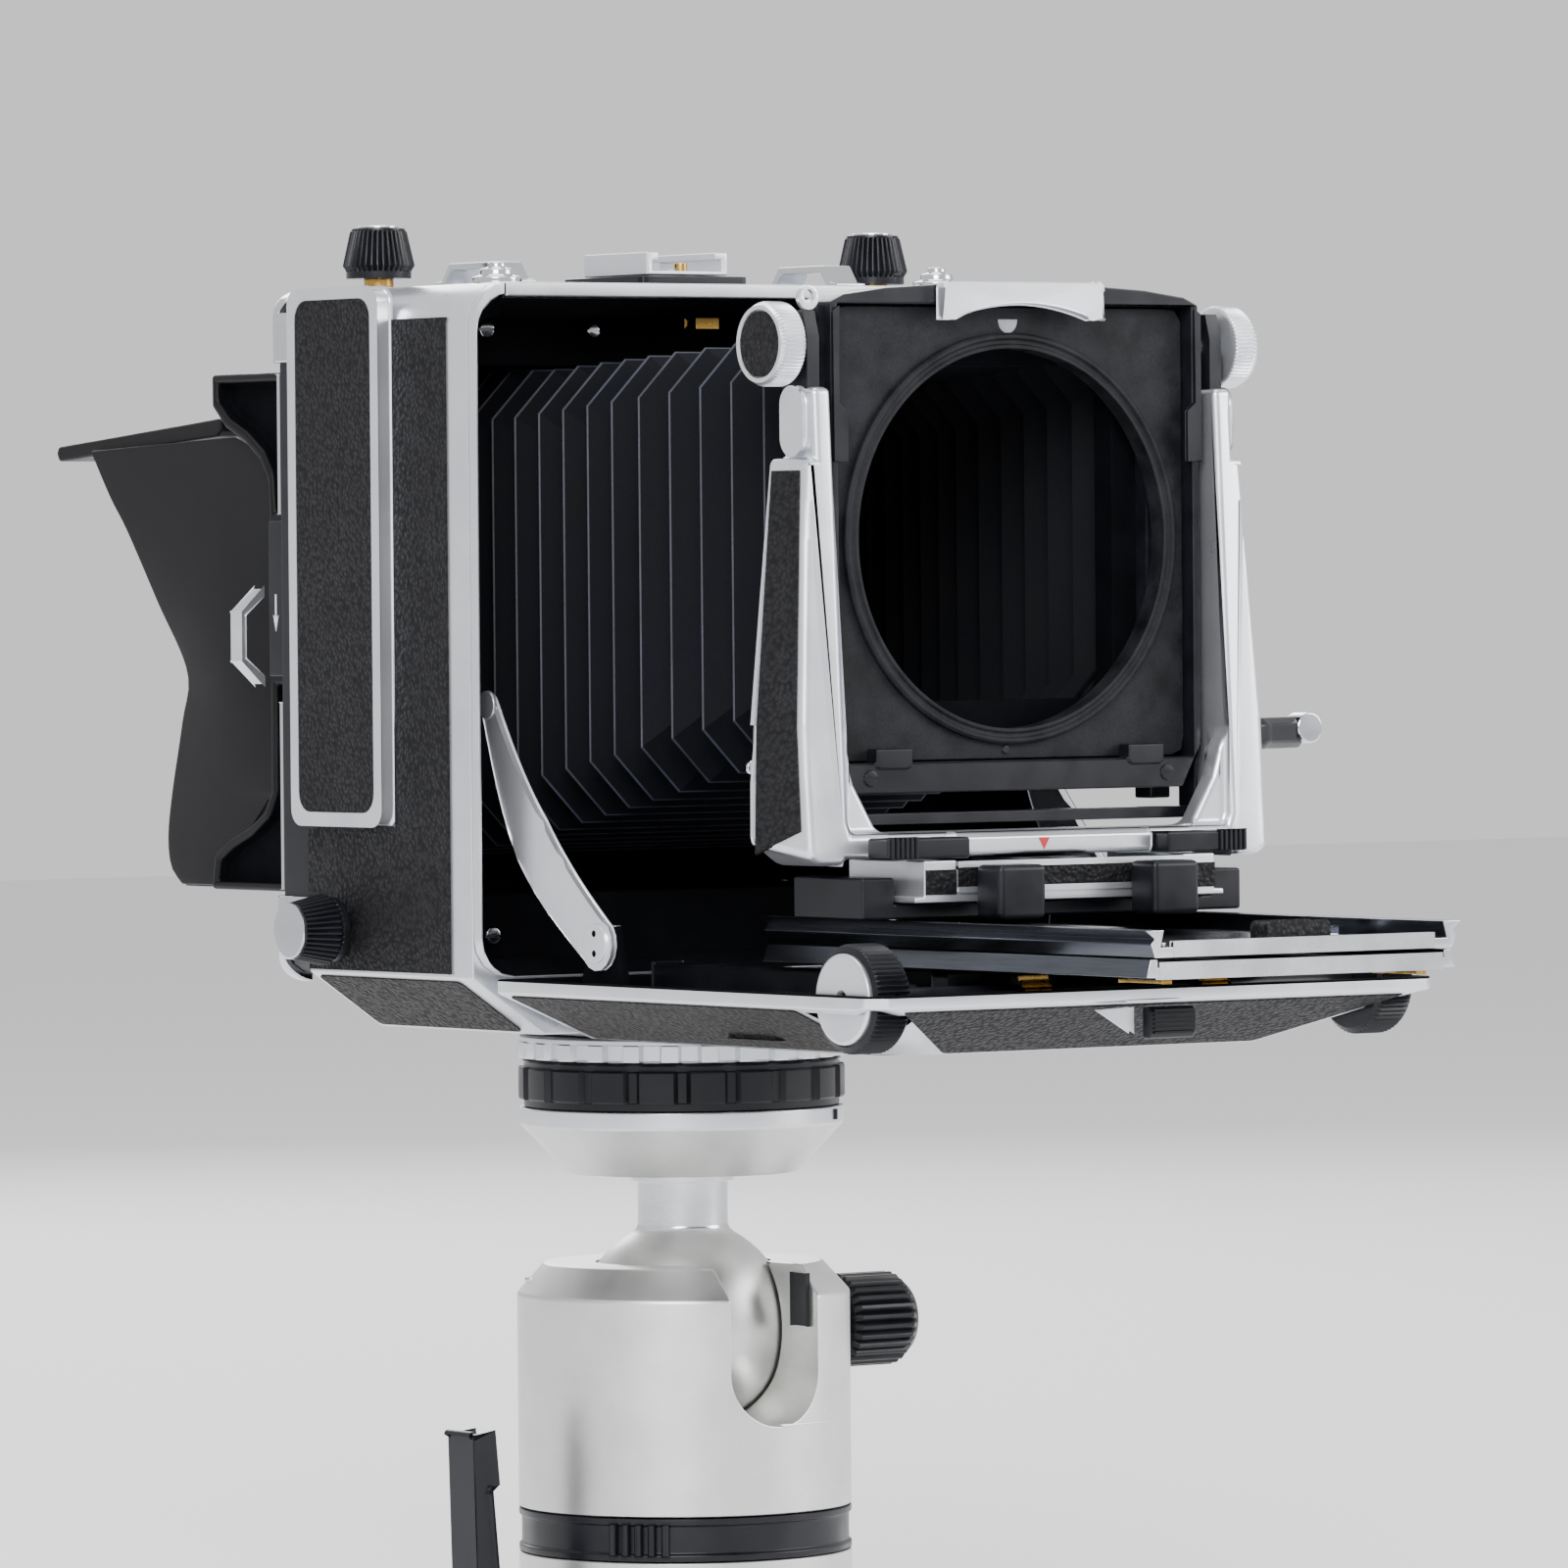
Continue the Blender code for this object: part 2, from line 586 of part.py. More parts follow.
def make_bracket(side, tray):
    """An ear on the tray that carries a strut's lower pivot."""
    pivot_z = STRUT_PIVOT[1]
    foot = BED_RIM - 4.9
    ear = [(44, foot), (60, foot), (60, -96), (56, pivot_z + 4), (47, pivot_z + 4), (44, -96)]
    tool(tray, prism("x", ear, *across(side, 70.0, STRUT_X - 0.9)), "UNION")


def make_strut(name, side, bed):
    """A curved strut from its pivot on the bed to its button in the body's wall."""
    pivot_y, pivot_z = STRUT_PIVOT
    top_y, top_z = 94.0, -36.0
    half_width, bulge, steps = 4.2, 5.0, 6
    run = Vector((top_y - pivot_y, top_z - pivot_z))
    aside = Vector((run.y, -run.x)).normalized()
    middle = [Vector((pivot_y, pivot_z)) + run * i / steps + aside * bulge * math.sin(math.pi * i / steps)
              for i in range(steps + 1)]
    near = [tuple(p + aside * half_width) for p in middle]
    far = [tuple(p - aside * half_width) for p in middle]
    along = run.normalized() * half_width * 0.8
    ends = [tuple(middle[-1] + along), tuple(middle[0] - along)]
    outline = near + [ends[0]] + far[::-1] + [ends[1]]
    low, high = across(side, STRUT_X - 0.5, STRUT_X + 0.9)
    add(f"strut_{name}", prism("x", outline, low, high), "silver", bed, (side * STRUT_X, pivot_y, pivot_z))


def make_focus_drive(bed):
    drive = group("focus_mount", (0, WHEEL_Y, WHEEL_Z), bed)
    wheel_r, near, far = 11.8, 63.4, 74.0
    for name, side in SIDES:
        profile = [(0, near), (10.5, near), (wheel_r, near + 1), (wheel_r, far - 1.6), (10, far), (0, far)]
        add(f"focus_wheel_{name}", turned("x", WHEEL_Y, WHEEL_Z, [(r, h * side) for r, h in profile]),
            "silver", drive)
    end = near - GAP
    gear_r, gear = 4.0, (20.0, 28.0)
    add("focus_shaft", turned("x", WHEEL_Y, WHEEL_Z, [
        (0, -end), (2, -end), (2, -gear[1]), (gear_r, -gear[1]), (gear_r, -gear[0]), (2, -gear[0]),
        (2, gear[0]), (gear_r, gear[0]), (gear_r, gear[1]), (2, gear[1]), (2, end), (0, end),
    ], 12), "brass", drive)
    lever = [(-56, -28), (-46, -30), (-44, -27), (-46, -20), (-52, -18), (-57, -22)]
    add("focus_lock_lever", prism("z", lever, -100, -96), "black", bed, (-52, -23, -98))


def make_rails(bed):
    """Two sliding extrusions, the upper one between the lower one's edges: it carries the front standard."""
    lower = group("lower_rail_mount", (0, RAIL_FRONT, RAIL_LOW), bed)
    half, wall = RAIL_HALF, 4.0
    top = RAIL_SPLIT - GAP
    right = [(half - 9, RAIL_LOW), (half - 8, RAIL_LOW + 0.5), (half - 1, RAIL_LOW + 0.5), (half - 2.2, top),
             (half - wall, top), (half - wall, RAIL_LOW + 2.6), (24, RAIL_LOW + 2.6), (22, RAIL_LOW + 1.8)]
    add("lower_rail", prism("y", right + mirrored(right)[::-1], RAIL_FRONT + 1, RAIL_BACK), "rail", lower)
    upper = group("upper_rail_mount", (0, RAIL_FRONT, RAIL_SPLIT), lower)
    web = RAIL_SPLIT + 2.2
    right = [(22, RAIL_SPLIT), (half - 2.5, RAIL_SPLIT), (half - 1.5, RAIL_SPLIT + 2.8),
             (half - 2.5, RAIL_SPLIT + 4), (half, RAIL_TOP), (half - wall - 1, RAIL_TOP), (half - wall, web),
             (26, web), (24, web - 0.8)]
    add("upper_rail", prism("y", right + mirrored(right)[::-1], RAIL_FRONT, RAIL_BACK), "rail", upper)
    return upper


# the front standard


def make_carriage(upper):
    low, high = -82.3, -73.2
    front, back = -18.0, 8.0
    carriage = group("carriage_mount", (0, front, low), upper)
    seat_half, seat_z = 43.0, -79.0
    right = [(51.6, low), (51.6, high), (seat_half, high), (seat_half, seat_z)]
    add("carriage", prism("y", right + mirrored(right)[::-1], front, back), "black", carriage)
    bracket_front, top = -24.2, -69.6
    right = [(42.0, seat_z + GAP), (42.0, seat_z + 1.6), (39.5, seat_z + 1.6), (39.5, top), (31.0, top),
             (31.0, top - 2.0)]
    bracket = prism("y", right + mirrored(right)[::-1], bracket_front, back - 4)
    add("standard_base", bracket, "silver", carriage)
    for name, side in SIDES:
        post = 20.9 * side
        outline = [(post - 6.3, -35), (post + 6.3, -35), (post + 6.3, -26), (post + 3, bracket_front - 1),
                   (post - 3, bracket_front - 1), (post - 6.3, -26)]
        add(f"pinch_lever_{name}", prism("z", outline, -82.4, -70.6), "black", carriage,
            (post, -25, -77))
    return carriage


def make_swing(carriage):
    swing = group("swing_mount", (0, -8, -71), carriage)
    add("swing_plate", disc("z", 0, -8, 14, -71.3, FOOT_LOW + 1.0, 20), "black", swing)
    for name, side in SIDES:
        arm = [(27, -24), (49, -24), (49, -16.2), (40, -16.2), (37, -17.5), (27, -16.2)]
        outline = [(x * side, y) for x, y in arm]
        add(f"clamp_lever_{name}", prism("z", outline, -69.2, -64.6), "black", swing, (30 * side, -20, -67))
    return swing


def make_u_frame(swing):
    """The U-frame: two arms that taper upwards from a deep foot, joined by a low bar."""
    frame = group("u_frame_mount", (0, -8, FOOT_LOW), swing)
    outer = [(60, FOOT_LOW), (ARM_LOW_OUT, FOOT_LOW + 5), (ARM_LOW_OUT - 0.6, -40), (ARM_TOP_OUT, 20),
             (ARM_TOP_OUT - 1, ARM_TOP)]
    inner = [(ARM_IN, ARM_TOP), (ARM_IN, -61), (ARM_IN - 1, FOOT_TOP)]
    right = [(53, FOOT_LOW + 1.3), (53, FOOT_LOW), *outer, *inner]
    outline = right + mirrored(right)[::-1]

    def front_of(z):
        return -9.0 - 5.0 * min(1.0, max(0.0, (-z - 10) / 50))

    bm = prism("y", outline, -9, 2.5)
    for vert in bm.verts:
        if vert.co.y < 0:
            vert.co.y = front_of(vert.co.z)
    u_frame = add("u_frame", bm, "silver", frame)
    web = [(ARM_IN + 2, -40), (ARM_IN - 0.5, -44), (49, -53), (42, FOOT_TOP - 1), (ARM_IN + 2, FOOT_TOP - 1)]
    for _, side in SIDES:
        tool(u_frame, prism("y", [(x * side, z) for x, z in web], -12, -6.4), "UNION")
    for name, side in SIDES:
        pivot = (side * (ARM_IN + 0.1), 0, KNOB_Z)
        profile = [(0, 0), (3, 0), (3, 6), (9.2, 6.3), (9.2, 12.1), (8.3, 12.7), (0, 12.7)]
        add(f"standard_knob_{name}", turned("x", 0, KNOB_Z, [(r, pivot[0] + side * h) for r, h in profile]),
            "silver", frame, pivot)
    hub_x = ARM_LOW_OUT
    lever = [(hub_x, -3), (hub_x + 5, -3), (hub_x + 8, 0), (88.5, 5), (88.5, 9), (hub_x + 7, 8),
             (hub_x + 4, 10), (hub_x, 9)]
    rise = add("rise_lever", prism("z", lever, -47.5, -40.5), "black", frame, (hub_x, 2, -44))
    soften(rise, 1.5)
    return frame


def make_carrier(frame):
    rise = group("rise_mount", (0, 0, 0), frame)
    inner, outer, low = CARRIER_HALF + GAP, ARM_IN - GAP, CARRIER_LOW - 6.9
    right = [(inner, low + 2.5), (inner, 28), (outer, 28), (outer, -44), (outer - 1, low)]
    add("rise_slide", prism("y", right + mirrored(right)[::-1], -3, 3), "chrome", rise)
    carrier = group("carrier_mount", (0, 0, 0), rise)
    arch_steps = 8
    top = [(CARRIER_HALF * math.cos(math.pi * i / arch_steps),
            CARRIER_SIDE_TOP + (CARRIER_ARCH - CARRIER_SIDE_TOP) * math.sin(math.pi * i / arch_steps))
           for i in range(arch_steps + 1)]
    # the lower corners are cut off, to leave room for the frame's webs when the lens tilts
    corner_x, corner_z = CARRIER_HALF - 5.2, CARRIER_LOW + 9.3
    outline = [(-CARRIER_HALF, corner_z), (-corner_x, CARRIER_LOW), (corner_x, CARRIER_LOW),
               (CARRIER_HALF, corner_z), *top]
    plate = add("lens_carrier", prism("y", outline, -6, 5.8), "matte_black", carrier)
    tool(plate, box((-48.3, -8, -48.6), (48.3, 1.6, 51.2)))
    tool(plate, prism("y", rectangle(-41, 41, -42, 46, 6, 2), 0, 8))
    board = add("lens_board", prism("y", rectangle(-BOARD_HALF, BOARD_HALF, -48.3, 50.8, 3, 2), -2.5, 1.2),
                "matte_black", carrier)
    tool(board, disc("y", 0, 0, 45.2, -4.2, 0, 48), "UNION")
    tool(board, disc("y", 0, 0, LENS_R, -6, 4, 48))
    half = 21.7
    lock = [(-half, 48.2), *[(half * 0.86 * u, 51.5 - 3.3 * u * u) for u in (-1, -0.5, 0, 0.5, 1)],
            (half, 48.2), (half, 56.2), (-half, 56.2)]
    add("board_lock", prism("y", lock, -8.8, -6.4), "silver", carrier, (0, -7, 52))
    for name, side in SIDES:
        low, high = across(side, 29.5, 39.3)
        tool(plate, prism("y", rectangle(low, high, -50, -43.8, 1.2, 2), -6.6, -2.8), "UNION")
        low, high = across(side, 44.3, 49.8)
        tool(plate, box((low, 5, -58), (high, 11, 34)), "UNION")
    return carrier


def main():
    clear_scene()
    ball = make_head()
    top = make_platform(ball)
    camera = make_body(top)
    make_body_fittings(camera)
    make_bellows(camera)
    make_back(camera)
    bed = make_bed(camera)
    upper = make_rails(bed)
    carriage = make_carriage(upper)
    swing = make_swing(carriage)
    frame = make_u_frame(swing)
    make_carrier(frame)


main()
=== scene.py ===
# Folding field camera on a ball head: finished surfaces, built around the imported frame.
import json
import math

import bmesh
import bpy
from mathutils import Matrix, Vector


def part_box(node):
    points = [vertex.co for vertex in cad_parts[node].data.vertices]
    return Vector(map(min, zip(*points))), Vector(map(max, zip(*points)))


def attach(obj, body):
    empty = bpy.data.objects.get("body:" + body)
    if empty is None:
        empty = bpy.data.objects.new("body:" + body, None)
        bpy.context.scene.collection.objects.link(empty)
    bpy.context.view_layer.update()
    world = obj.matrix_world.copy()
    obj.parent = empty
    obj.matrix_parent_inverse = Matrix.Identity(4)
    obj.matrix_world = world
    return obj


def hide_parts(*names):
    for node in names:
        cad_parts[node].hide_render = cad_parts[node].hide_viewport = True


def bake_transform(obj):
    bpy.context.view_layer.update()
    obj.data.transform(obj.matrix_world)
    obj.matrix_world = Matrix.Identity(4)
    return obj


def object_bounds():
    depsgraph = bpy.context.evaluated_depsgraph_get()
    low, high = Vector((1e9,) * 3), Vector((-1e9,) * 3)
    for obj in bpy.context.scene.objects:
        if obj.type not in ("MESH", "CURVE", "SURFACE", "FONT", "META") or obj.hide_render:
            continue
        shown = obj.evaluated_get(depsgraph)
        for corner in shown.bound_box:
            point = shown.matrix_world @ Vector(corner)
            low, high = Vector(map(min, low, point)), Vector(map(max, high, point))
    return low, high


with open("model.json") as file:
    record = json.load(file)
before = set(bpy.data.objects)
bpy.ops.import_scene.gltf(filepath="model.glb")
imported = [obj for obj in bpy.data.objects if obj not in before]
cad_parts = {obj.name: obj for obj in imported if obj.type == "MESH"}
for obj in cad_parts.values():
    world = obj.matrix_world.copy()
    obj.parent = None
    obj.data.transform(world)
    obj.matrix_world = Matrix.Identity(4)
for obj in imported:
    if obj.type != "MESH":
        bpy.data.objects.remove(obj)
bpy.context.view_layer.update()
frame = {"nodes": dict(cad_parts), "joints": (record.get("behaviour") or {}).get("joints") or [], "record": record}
bodyOf = {node: body for body, members in frame["record"]["behaviour"]["bodies"].items() for node in members}
slotOf = {part["node"]: part["material_slot"] for part in frame["record"]["subparts"]}
pivots = {joint["name"]: joint.get("pos_m") for joint in frame["joints"]}
lensCentre = Vector(pivots["lens_tilt"])  # sizes below are millimetres from the centre of the lens opening
mm = 0.001
sides = (("left", -1), ("right", 1))
print("frame loaded,", len(frame["nodes"]), "nodes")


# what every material is made with

def hexToLinear(code):
    channels = [int(code[i:i + 2], 16) / 255 for i in (1, 3, 5)]
    return (*[c / 12.92 if c <= 0.04045 else ((c + 0.055) / 1.055) ** 2.4 for c in channels], 1.0)


def addNode(tree, kind, settings=None, links=None):
    node = tree.nodes.new(kind)
    for name, value in (settings or {}).items():
        if isinstance(name, str) and hasattr(node, name):
            setattr(node, name, value)
        else:
            node.inputs[name].default_value = value
    for name, source in (links or {}).items():
        tree.links.new(source, node.inputs[name])
    return node


def perMillimetre(size):
    return 1.0 / (size * mm)  # texture repeats per metre for a feature of that size


def newMaterial(name, colour, roughness, metallic=0.0, **more):
    material = bpy.data.materials.new(name)
    material.use_nodes = True
    shader = material.node_tree.nodes["Principled BSDF"]
    shader.inputs["Base Color"].default_value = hexToLinear(colour)
    shader.inputs["Roughness"].default_value = roughness
    shader.inputs["Metallic"].default_value = metallic
    for socket, value in more.items():
        shader.inputs[socket.replace("_", " ")].default_value = value
    return material


def addGrain(material, grain, height, colours=None, roughness=None, patch=9.0, stretch=(1, 1, 1)):
    # a fine grain as bump, with slow changes of colour and gloss over patches of the surface
    tree = material.node_tree
    shader = tree.nodes["Principled BSDF"]
    place = addNode(tree, "ShaderNodeTexCoord").outputs["Object"]
    if stretch != (1, 1, 1):
        place = addNode(tree, "ShaderNodeMapping", {"Scale": stretch}, {"Vector": place}).outputs[0]
    fine = addNode(tree, "ShaderNodeTexNoise",
                   {"Scale": perMillimetre(grain), "Detail": 3.0, "Roughness": 0.6}, {"Vector": place})
    bump = addNode(tree, "ShaderNodeBump", {"Strength": 0.6, "Distance": height * mm},
                   {"Height": fine.outputs[0]})
    tree.links.new(bump.outputs[0], shader.inputs["Normal"])
    slow = addNode(tree, "ShaderNodeTexNoise", {"Scale": perMillimetre(patch), "Detail": 4.0},
                   {"Vector": place})
    if colours:
        both = addNode(tree, "ShaderNodeMath", {"operation": "MULTIPLY_ADD", 1: 0.45, 2: 0.28},
                       {0: fine.outputs[0]})
        blend = addNode(tree, "ShaderNodeMath", {"operation": "MULTIPLY"},
                        {0: both.outputs[0], 1: slow.outputs[0]})
        share = addNode(tree, "ShaderNodeMapRange", {"From Min": 0.14, "From Max": 0.36},
                        {"Value": blend.outputs[0]})
        dark, light = (hexToLinear(code) for code in colours)
        mix = addNode(tree, "ShaderNodeMix", {"data_type": "RGBA", 6: dark, 7: light}, {0: share.outputs[0]})
        tree.links.new(mix.outputs[2], shader.inputs["Base Color"])
    if roughness:
        least, most = roughness
        gloss = addNode(tree, "ShaderNodeMapRange",
                        {"From Min": 0.3, "From Max": 0.7, "To Min": least, "To Max": most},
                        {"Value": slow.outputs[0]})
        tree.links.new(gloss.outputs[0], shader.inputs["Roughness"])


# satin enamel on die-cast aluminium: a soft silver with a very fine tooth, slightly blue
satinEnamel = newMaterial("satinEnamelOnCastAluminium", "#D3D6DD", 0.3, 0.85)
addGrain(satinEnamel, 0.5, 0.004, ("#DCDFE5", "#E6E8EC"), (0.27, 0.34), 14)
# bright nickel and chrome plate: smooth, with faint wiping marks
chromePlate = newMaterial("chromePlate", "#D6D9DD", 0.12, 1.0)
addGrain(chromePlate, 1.2, 0.002, None, (0.09, 0.17), 6)
# bead-blasted anodised aluminium: an even frosted grey that scatters the light
beadBlasted = newMaterial("beadBlastedAluminium", "#D2D2D0", 0.4, 1.0)
addGrain(beadBlasted, 0.45, 0.014, ("#D6D6D4", "#E3E3E1"), (0.38, 0.43), 11)
# machined aluminium: drawn lines that run along the extrusion
drawnAluminium = newMaterial("drawnAluminium", "#E2E4E8", 0.2, 1.0)
addGrain(drawnAluminium, 0.6, 0.006, ("#D3D5DA", "#EEF0F2"), (0.16, 0.28), 20, (1, 0.05, 1))
# the same extrusion where it is polished and dyed: a dark mirror along its sides
dyedAluminium = newMaterial("polishedDyedAluminium", "#5C6069", 0.24, 1.0)
addGrain(dyedAluminium, 0.6, 0.004, ("#4A4D55", "#6C7078"), (0.2, 0.32), 18, (1, 0.05, 1))
# black anodised aluminium: a hard, faintly blue black with a silky gloss; the same black paints the shade on the
# notch wall of the ball head
blackAnodisedAndShade = newMaterial("blackAnodisedAluminiumAndShade", "#17181D", 0.34, Specular_IOR_Level=0.3)
addGrain(blackAnodisedAndShade, 0.5, 0.006, ("#0B0C10", "#16181E"), (0.28, 0.42), 8)
# wrinkle lacquer on the lens board: dull, with a sandy tooth that shows as light specks
sandyLacquer = newMaterial("sandyBlackLacquer", "#242529", 0.6, Specular_IOR_Level=0.16)
addGrain(sandyLacquer, 0.6, 0.07, ("#0C0D0F", "#232428"), (0.52, 0.66), 7)
# dull flocked black inside the body, which swallows stray light; the same black is painted as shade in the hood's
# side pockets and on the strut pivots' holes
flockedBlackAndShade = newMaterial("flockedBlackPaintAndShade", "#0B0C10", 0.85, Specular_IOR_Level=0.05)
addGrain(flockedBlackAndShade, 0.8, 0.03, ("#040507", "#0A0B0F"))
# moulded rubberised plastic of the hood: soft sheen and a fine spark-eroded texture
mouldedRubber = newMaterial("mouldedRubberisedPlastic", "#17171A", 0.45, Specular_IOR_Level=0.18)
addGrain(mouldedRubber, 0.55, 0.02, ("#09090B", "#131315"), (0.38, 0.52), 12)
# coated cloth of the bellows: near-black blue with a close weave
bellowsCloth = newMaterial("coatedBellowsCloth", "#0D0E15", 0.72, Specular_IOR_Level=0.12)
addGrain(bellowsCloth, 0.7, 0.02, ("#05060A", "#0C0E15"), (0.66, 0.78), 15)
# the same cloth on the crest of every fold: paler and a little glossier, a painted highlight along the ridges
foldRidgeHighlight = newMaterial("bellowsRidgeHighlight", "#343846", 0.5)
addGrain(foldRidgeHighlight, 0.7, 0.02, ("#171A24", "#2D3140"), None, 10)
# turned brass, slightly tarnished
turnedBrass = newMaterial("turnedBrass", "#B8924A", 0.3, 1.0)
addGrain(turnedBrass, 0.5, 0.005, ("#A5803B", "#C9A45C"), (0.2, 0.36), 4)
# ground focusing glass: pale and frosted, so that an image forms on it
groundGlass = newMaterial("groundGlass", "#B9C2BF", 0.5, IOR=1.52, Transmission_Weight=0.35)
addGrain(groundGlass, 0.4, 0.01, None, (0.45, 0.55), 20)
# enamel run into the engraved marks, and pewter paint on the small registration mark
redEnamel = newMaterial("redEnamelInlay", "#C4232C", 0.35)
addGrain(redEnamel, 0.5, 0.004, ("#B01D26", "#D02A34"))
pewterPaint = newMaterial("pewterPaint", "#8E9096", 0.5, 0.3)
addGrain(pewterPaint, 0.5, 0.004, ("#83858B", "#9A9CA2"))
whiteEnamel = newMaterial("whiteEnamelInlay", "#D9DADC", 0.4)
addGrain(whiteEnamel, 0.5, 0.004, ("#CBCCCE", "#E2E3E5"))


def makeLeather(name, dark, light):
    # embossed leathercloth: rounded pebbles, with painted shade that darkens the colour in the creases between
    # them and leaves their crowns lighter, and a dull sheen on top
    pebble, emboss, tooth = 1.05, 0.28, 0.12
    material = newMaterial(name, dark, 0.6, Specular_IOR_Level=0.2)
    tree = material.node_tree
    shader = tree.nodes["Principled BSDF"]
    place = addNode(tree, "ShaderNodeTexCoord").outputs["Object"]
    drift = addNode(tree, "ShaderNodeTexNoise", {"Scale": perMillimetre(2.4), "Detail": 2.0},
                    {"Vector": place})
    bent = addNode(tree, "ShaderNodeVectorMath", {"operation": "MULTIPLY_ADD", 1: (0.0012,) * 3},
                   {0: drift.outputs["Color"], 2: place})
    cells = addNode(tree, "ShaderNodeTexVoronoi",
                    {"feature": "SMOOTH_F1", "Scale": perMillimetre(pebble), "Smoothness": 0.5},
                    {"Vector": bent.outputs[0]})
    rise = addNode(tree, "ShaderNodeMapRange",
                   {"From Min": 0.15, "From Max": 0.75, "To Min": 1.0, "To Max": 0.0},
                   {"Value": cells.outputs["Distance"]})
    fine = addNode(tree, "ShaderNodeTexNoise", {"Scale": perMillimetre(0.35), "Detail": 2.0},
                   {"Vector": place})
    height = addNode(tree, "ShaderNodeMath", {"operation": "MULTIPLY_ADD", 1: tooth},
                     {0: fine.outputs[0], 2: rise.outputs[0]})
    bump = addNode(tree, "ShaderNodeBump", {"Strength": 0.85, "Distance": emboss * mm},
                   {"Height": height.outputs[0]})
    tree.links.new(bump.outputs[0], shader.inputs["Normal"])
    slow = addNode(tree, "ShaderNodeTexNoise", {"Scale": perMillimetre(13), "Detail": 3.0}, {"Vector": place})
    # painted shade: the colour follows the emboss, darkest in the creases and lightest on the pebble tops
    share = addNode(tree, "ShaderNodeMath", {"operation": "MULTIPLY"},
                    {0: rise.outputs[0], 1: slow.outputs[0]})
    mix = addNode(tree, "ShaderNodeMix", {"data_type": "RGBA", 6: hexToLinear(dark), 7: hexToLinear(light)},
                  {0: share.outputs[0]})
    tree.links.new(mix.outputs[2], shader.inputs["Base Color"])
    gloss = addNode(tree, "ShaderNodeMapRange", {"To Min": 0.68, "To Max": 0.44}, {"Value": rise.outputs[0]})
    tree.links.new(gloss.outputs[0], shader.inputs["Roughness"])
    return material


blackLeather = makeLeather("pebbledBlackLeathercloth", "#0B0B0D", "#28282C")
brownedLeather = makeLeather("agedLeatherclothBelow", "#100E0D", "#2A2522")
print("materials made")


# how shapes are made

def spot(axis, u, v, h):
    return {"x": (h, u, v), "y": (u, h, v), "z": (u, v, h)}[axis]


def loft(axis, levels):
    bm = bmesh.new()
    rings = [[bm.verts.new(spot(axis, u, v, h)) for u, v in outline] for h, outline in levels]
    for low, high in zip(rings, rings[1:]):
        for i, corner in enumerate(low):
            j = (i + 1) % len(low)
            bm.faces.new((corner, low[j], high[j], high[i]))
    bm.faces.new(rings[0])
    bm.faces.new(rings[-1][::-1])
    return bm


def prism(axis, outline, low, high):
    return loft(axis, [(low, outline), (high, outline)])


def rectangle(u0, u1, v0, v1, radius=0.0, steps=5):
    if not radius:
        return [(u0, v0), (u1, v0), (u1, v1), (u0, v1)]
    points = []
    corners = ((u1 - radius, v0 + radius, -90), (u1 - radius, v1 - radius, 0),
               (u0 + radius, v1 - radius, 90), (u0 + radius, v0 + radius, 180))
    for u, v, start in corners:
        points += arc(u, v, radius, start, start + 90, steps)
    return points


def arc(u, v, radius, start, end, steps):
    turns = [math.radians(start + (end - start) * i / steps) for i in range(steps + 1)]
    return [(u + radius * math.cos(t), v + radius * math.sin(t)) for t in turns]


def circle(u, v, radius, count=96):
    return arc(u, v, radius, 0, 360, count)[:-1]


def eased(profile, radius=0.4, steps=3):
    # rounds the corners of a turned profile; a point's third value says that it is knurled
    points = [profile[0]]
    for before, here, after in zip(profile, profile[1:], profile[2:]):
        corner = Vector(here[:2])
        back, ahead = Vector(before[:2]) - corner, Vector(after[:2]) - corner
        cut = min(radius, back.length * 0.45, ahead.length * 0.45)
        start, end = corner + back.normalized() * cut, corner + ahead.normalized() * cut
        for k in range(steps + 1):
            t = k / steps
            point = start * (1 - t) ** 2 + corner * 2 * t * (1 - t) + end * t * t
            points.append((*point, *here[2:]))
    return points + [profile[-1]]


def turned(axis, u, v, profile, count=96, groove=None, depth=0.0):
    # a turned piece; where a point is knurled, groove says how deep each turn of the rim is cut
    bm = bmesh.new()
    rings = []
    for radius, height, *knurled in profile:
        if radius == 0:
            rings.append([bm.verts.new(spot(axis, u, v, height))])
            continue
        ring = []
        for i in range(count):
            turn = 2 * math.pi * i / count
            r = radius - (depth * groove(turn) if knurled and groove else 0.0)
            ring.append(bm.verts.new(spot(axis, u + r * math.cos(turn), v + r * math.sin(turn), height)))
        rings.append(ring)
    pairs = list(zip(rings, rings[1:])) + ([(rings[-1], rings[0])] if profile[0][0] > 0 else [])
    for low, high in pairs:
        for i in range(count):
            j = (i + 1) % count
            corners = [low[i % len(low)], low[j % len(low)], high[j % len(high)], high[i % len(high)]]
            corners = [c for k, c in enumerate(corners) if c not in corners[:k]]
            bm.faces.new(corners)
    return bm


def combine(base, tool, operation="DIFFERENCE"):
    pair = []
    for bm in (base, tool):
        bmesh.ops.recalc_face_normals(bm, faces=bm.faces)
        mesh = bpy.data.meshes.new("shaping")
        bm.to_mesh(mesh)
        bm.free()
        pair.append(bpy.data.objects.new("shaping", mesh))
        bpy.context.scene.collection.objects.link(pair[-1])
    change = pair[0].modifiers.new("Cut", "BOOLEAN")
    change.operation = operation
    change.solver = "EXACT"
    change.object = pair[1]
    bpy.context.view_layer.update()
    result = bmesh.new()
    result.from_object(pair[0], bpy.context.evaluated_depsgraph_get())
    for obj in pair:
        bpy.data.objects.remove(obj)
    return result


def softenEdges(bm, width, angle=30, segments=2, clamp=True):
    bm.normal_update()
    bmesh.ops.connect_verts_concave(bm, faces=bm.faces)
    bm.normal_update()
    sharp = [e for e in bm.edges if len(e.link_faces) == 2 and e.calc_face_angle() > math.radians(angle)]
    bmesh.ops.bevel(bm, geom=sharp, offset=width, offset_type="OFFSET", segments=segments, profile=0.5,
                    affect="EDGES", clamp_overlap=clamp, material=-1)
    return bm


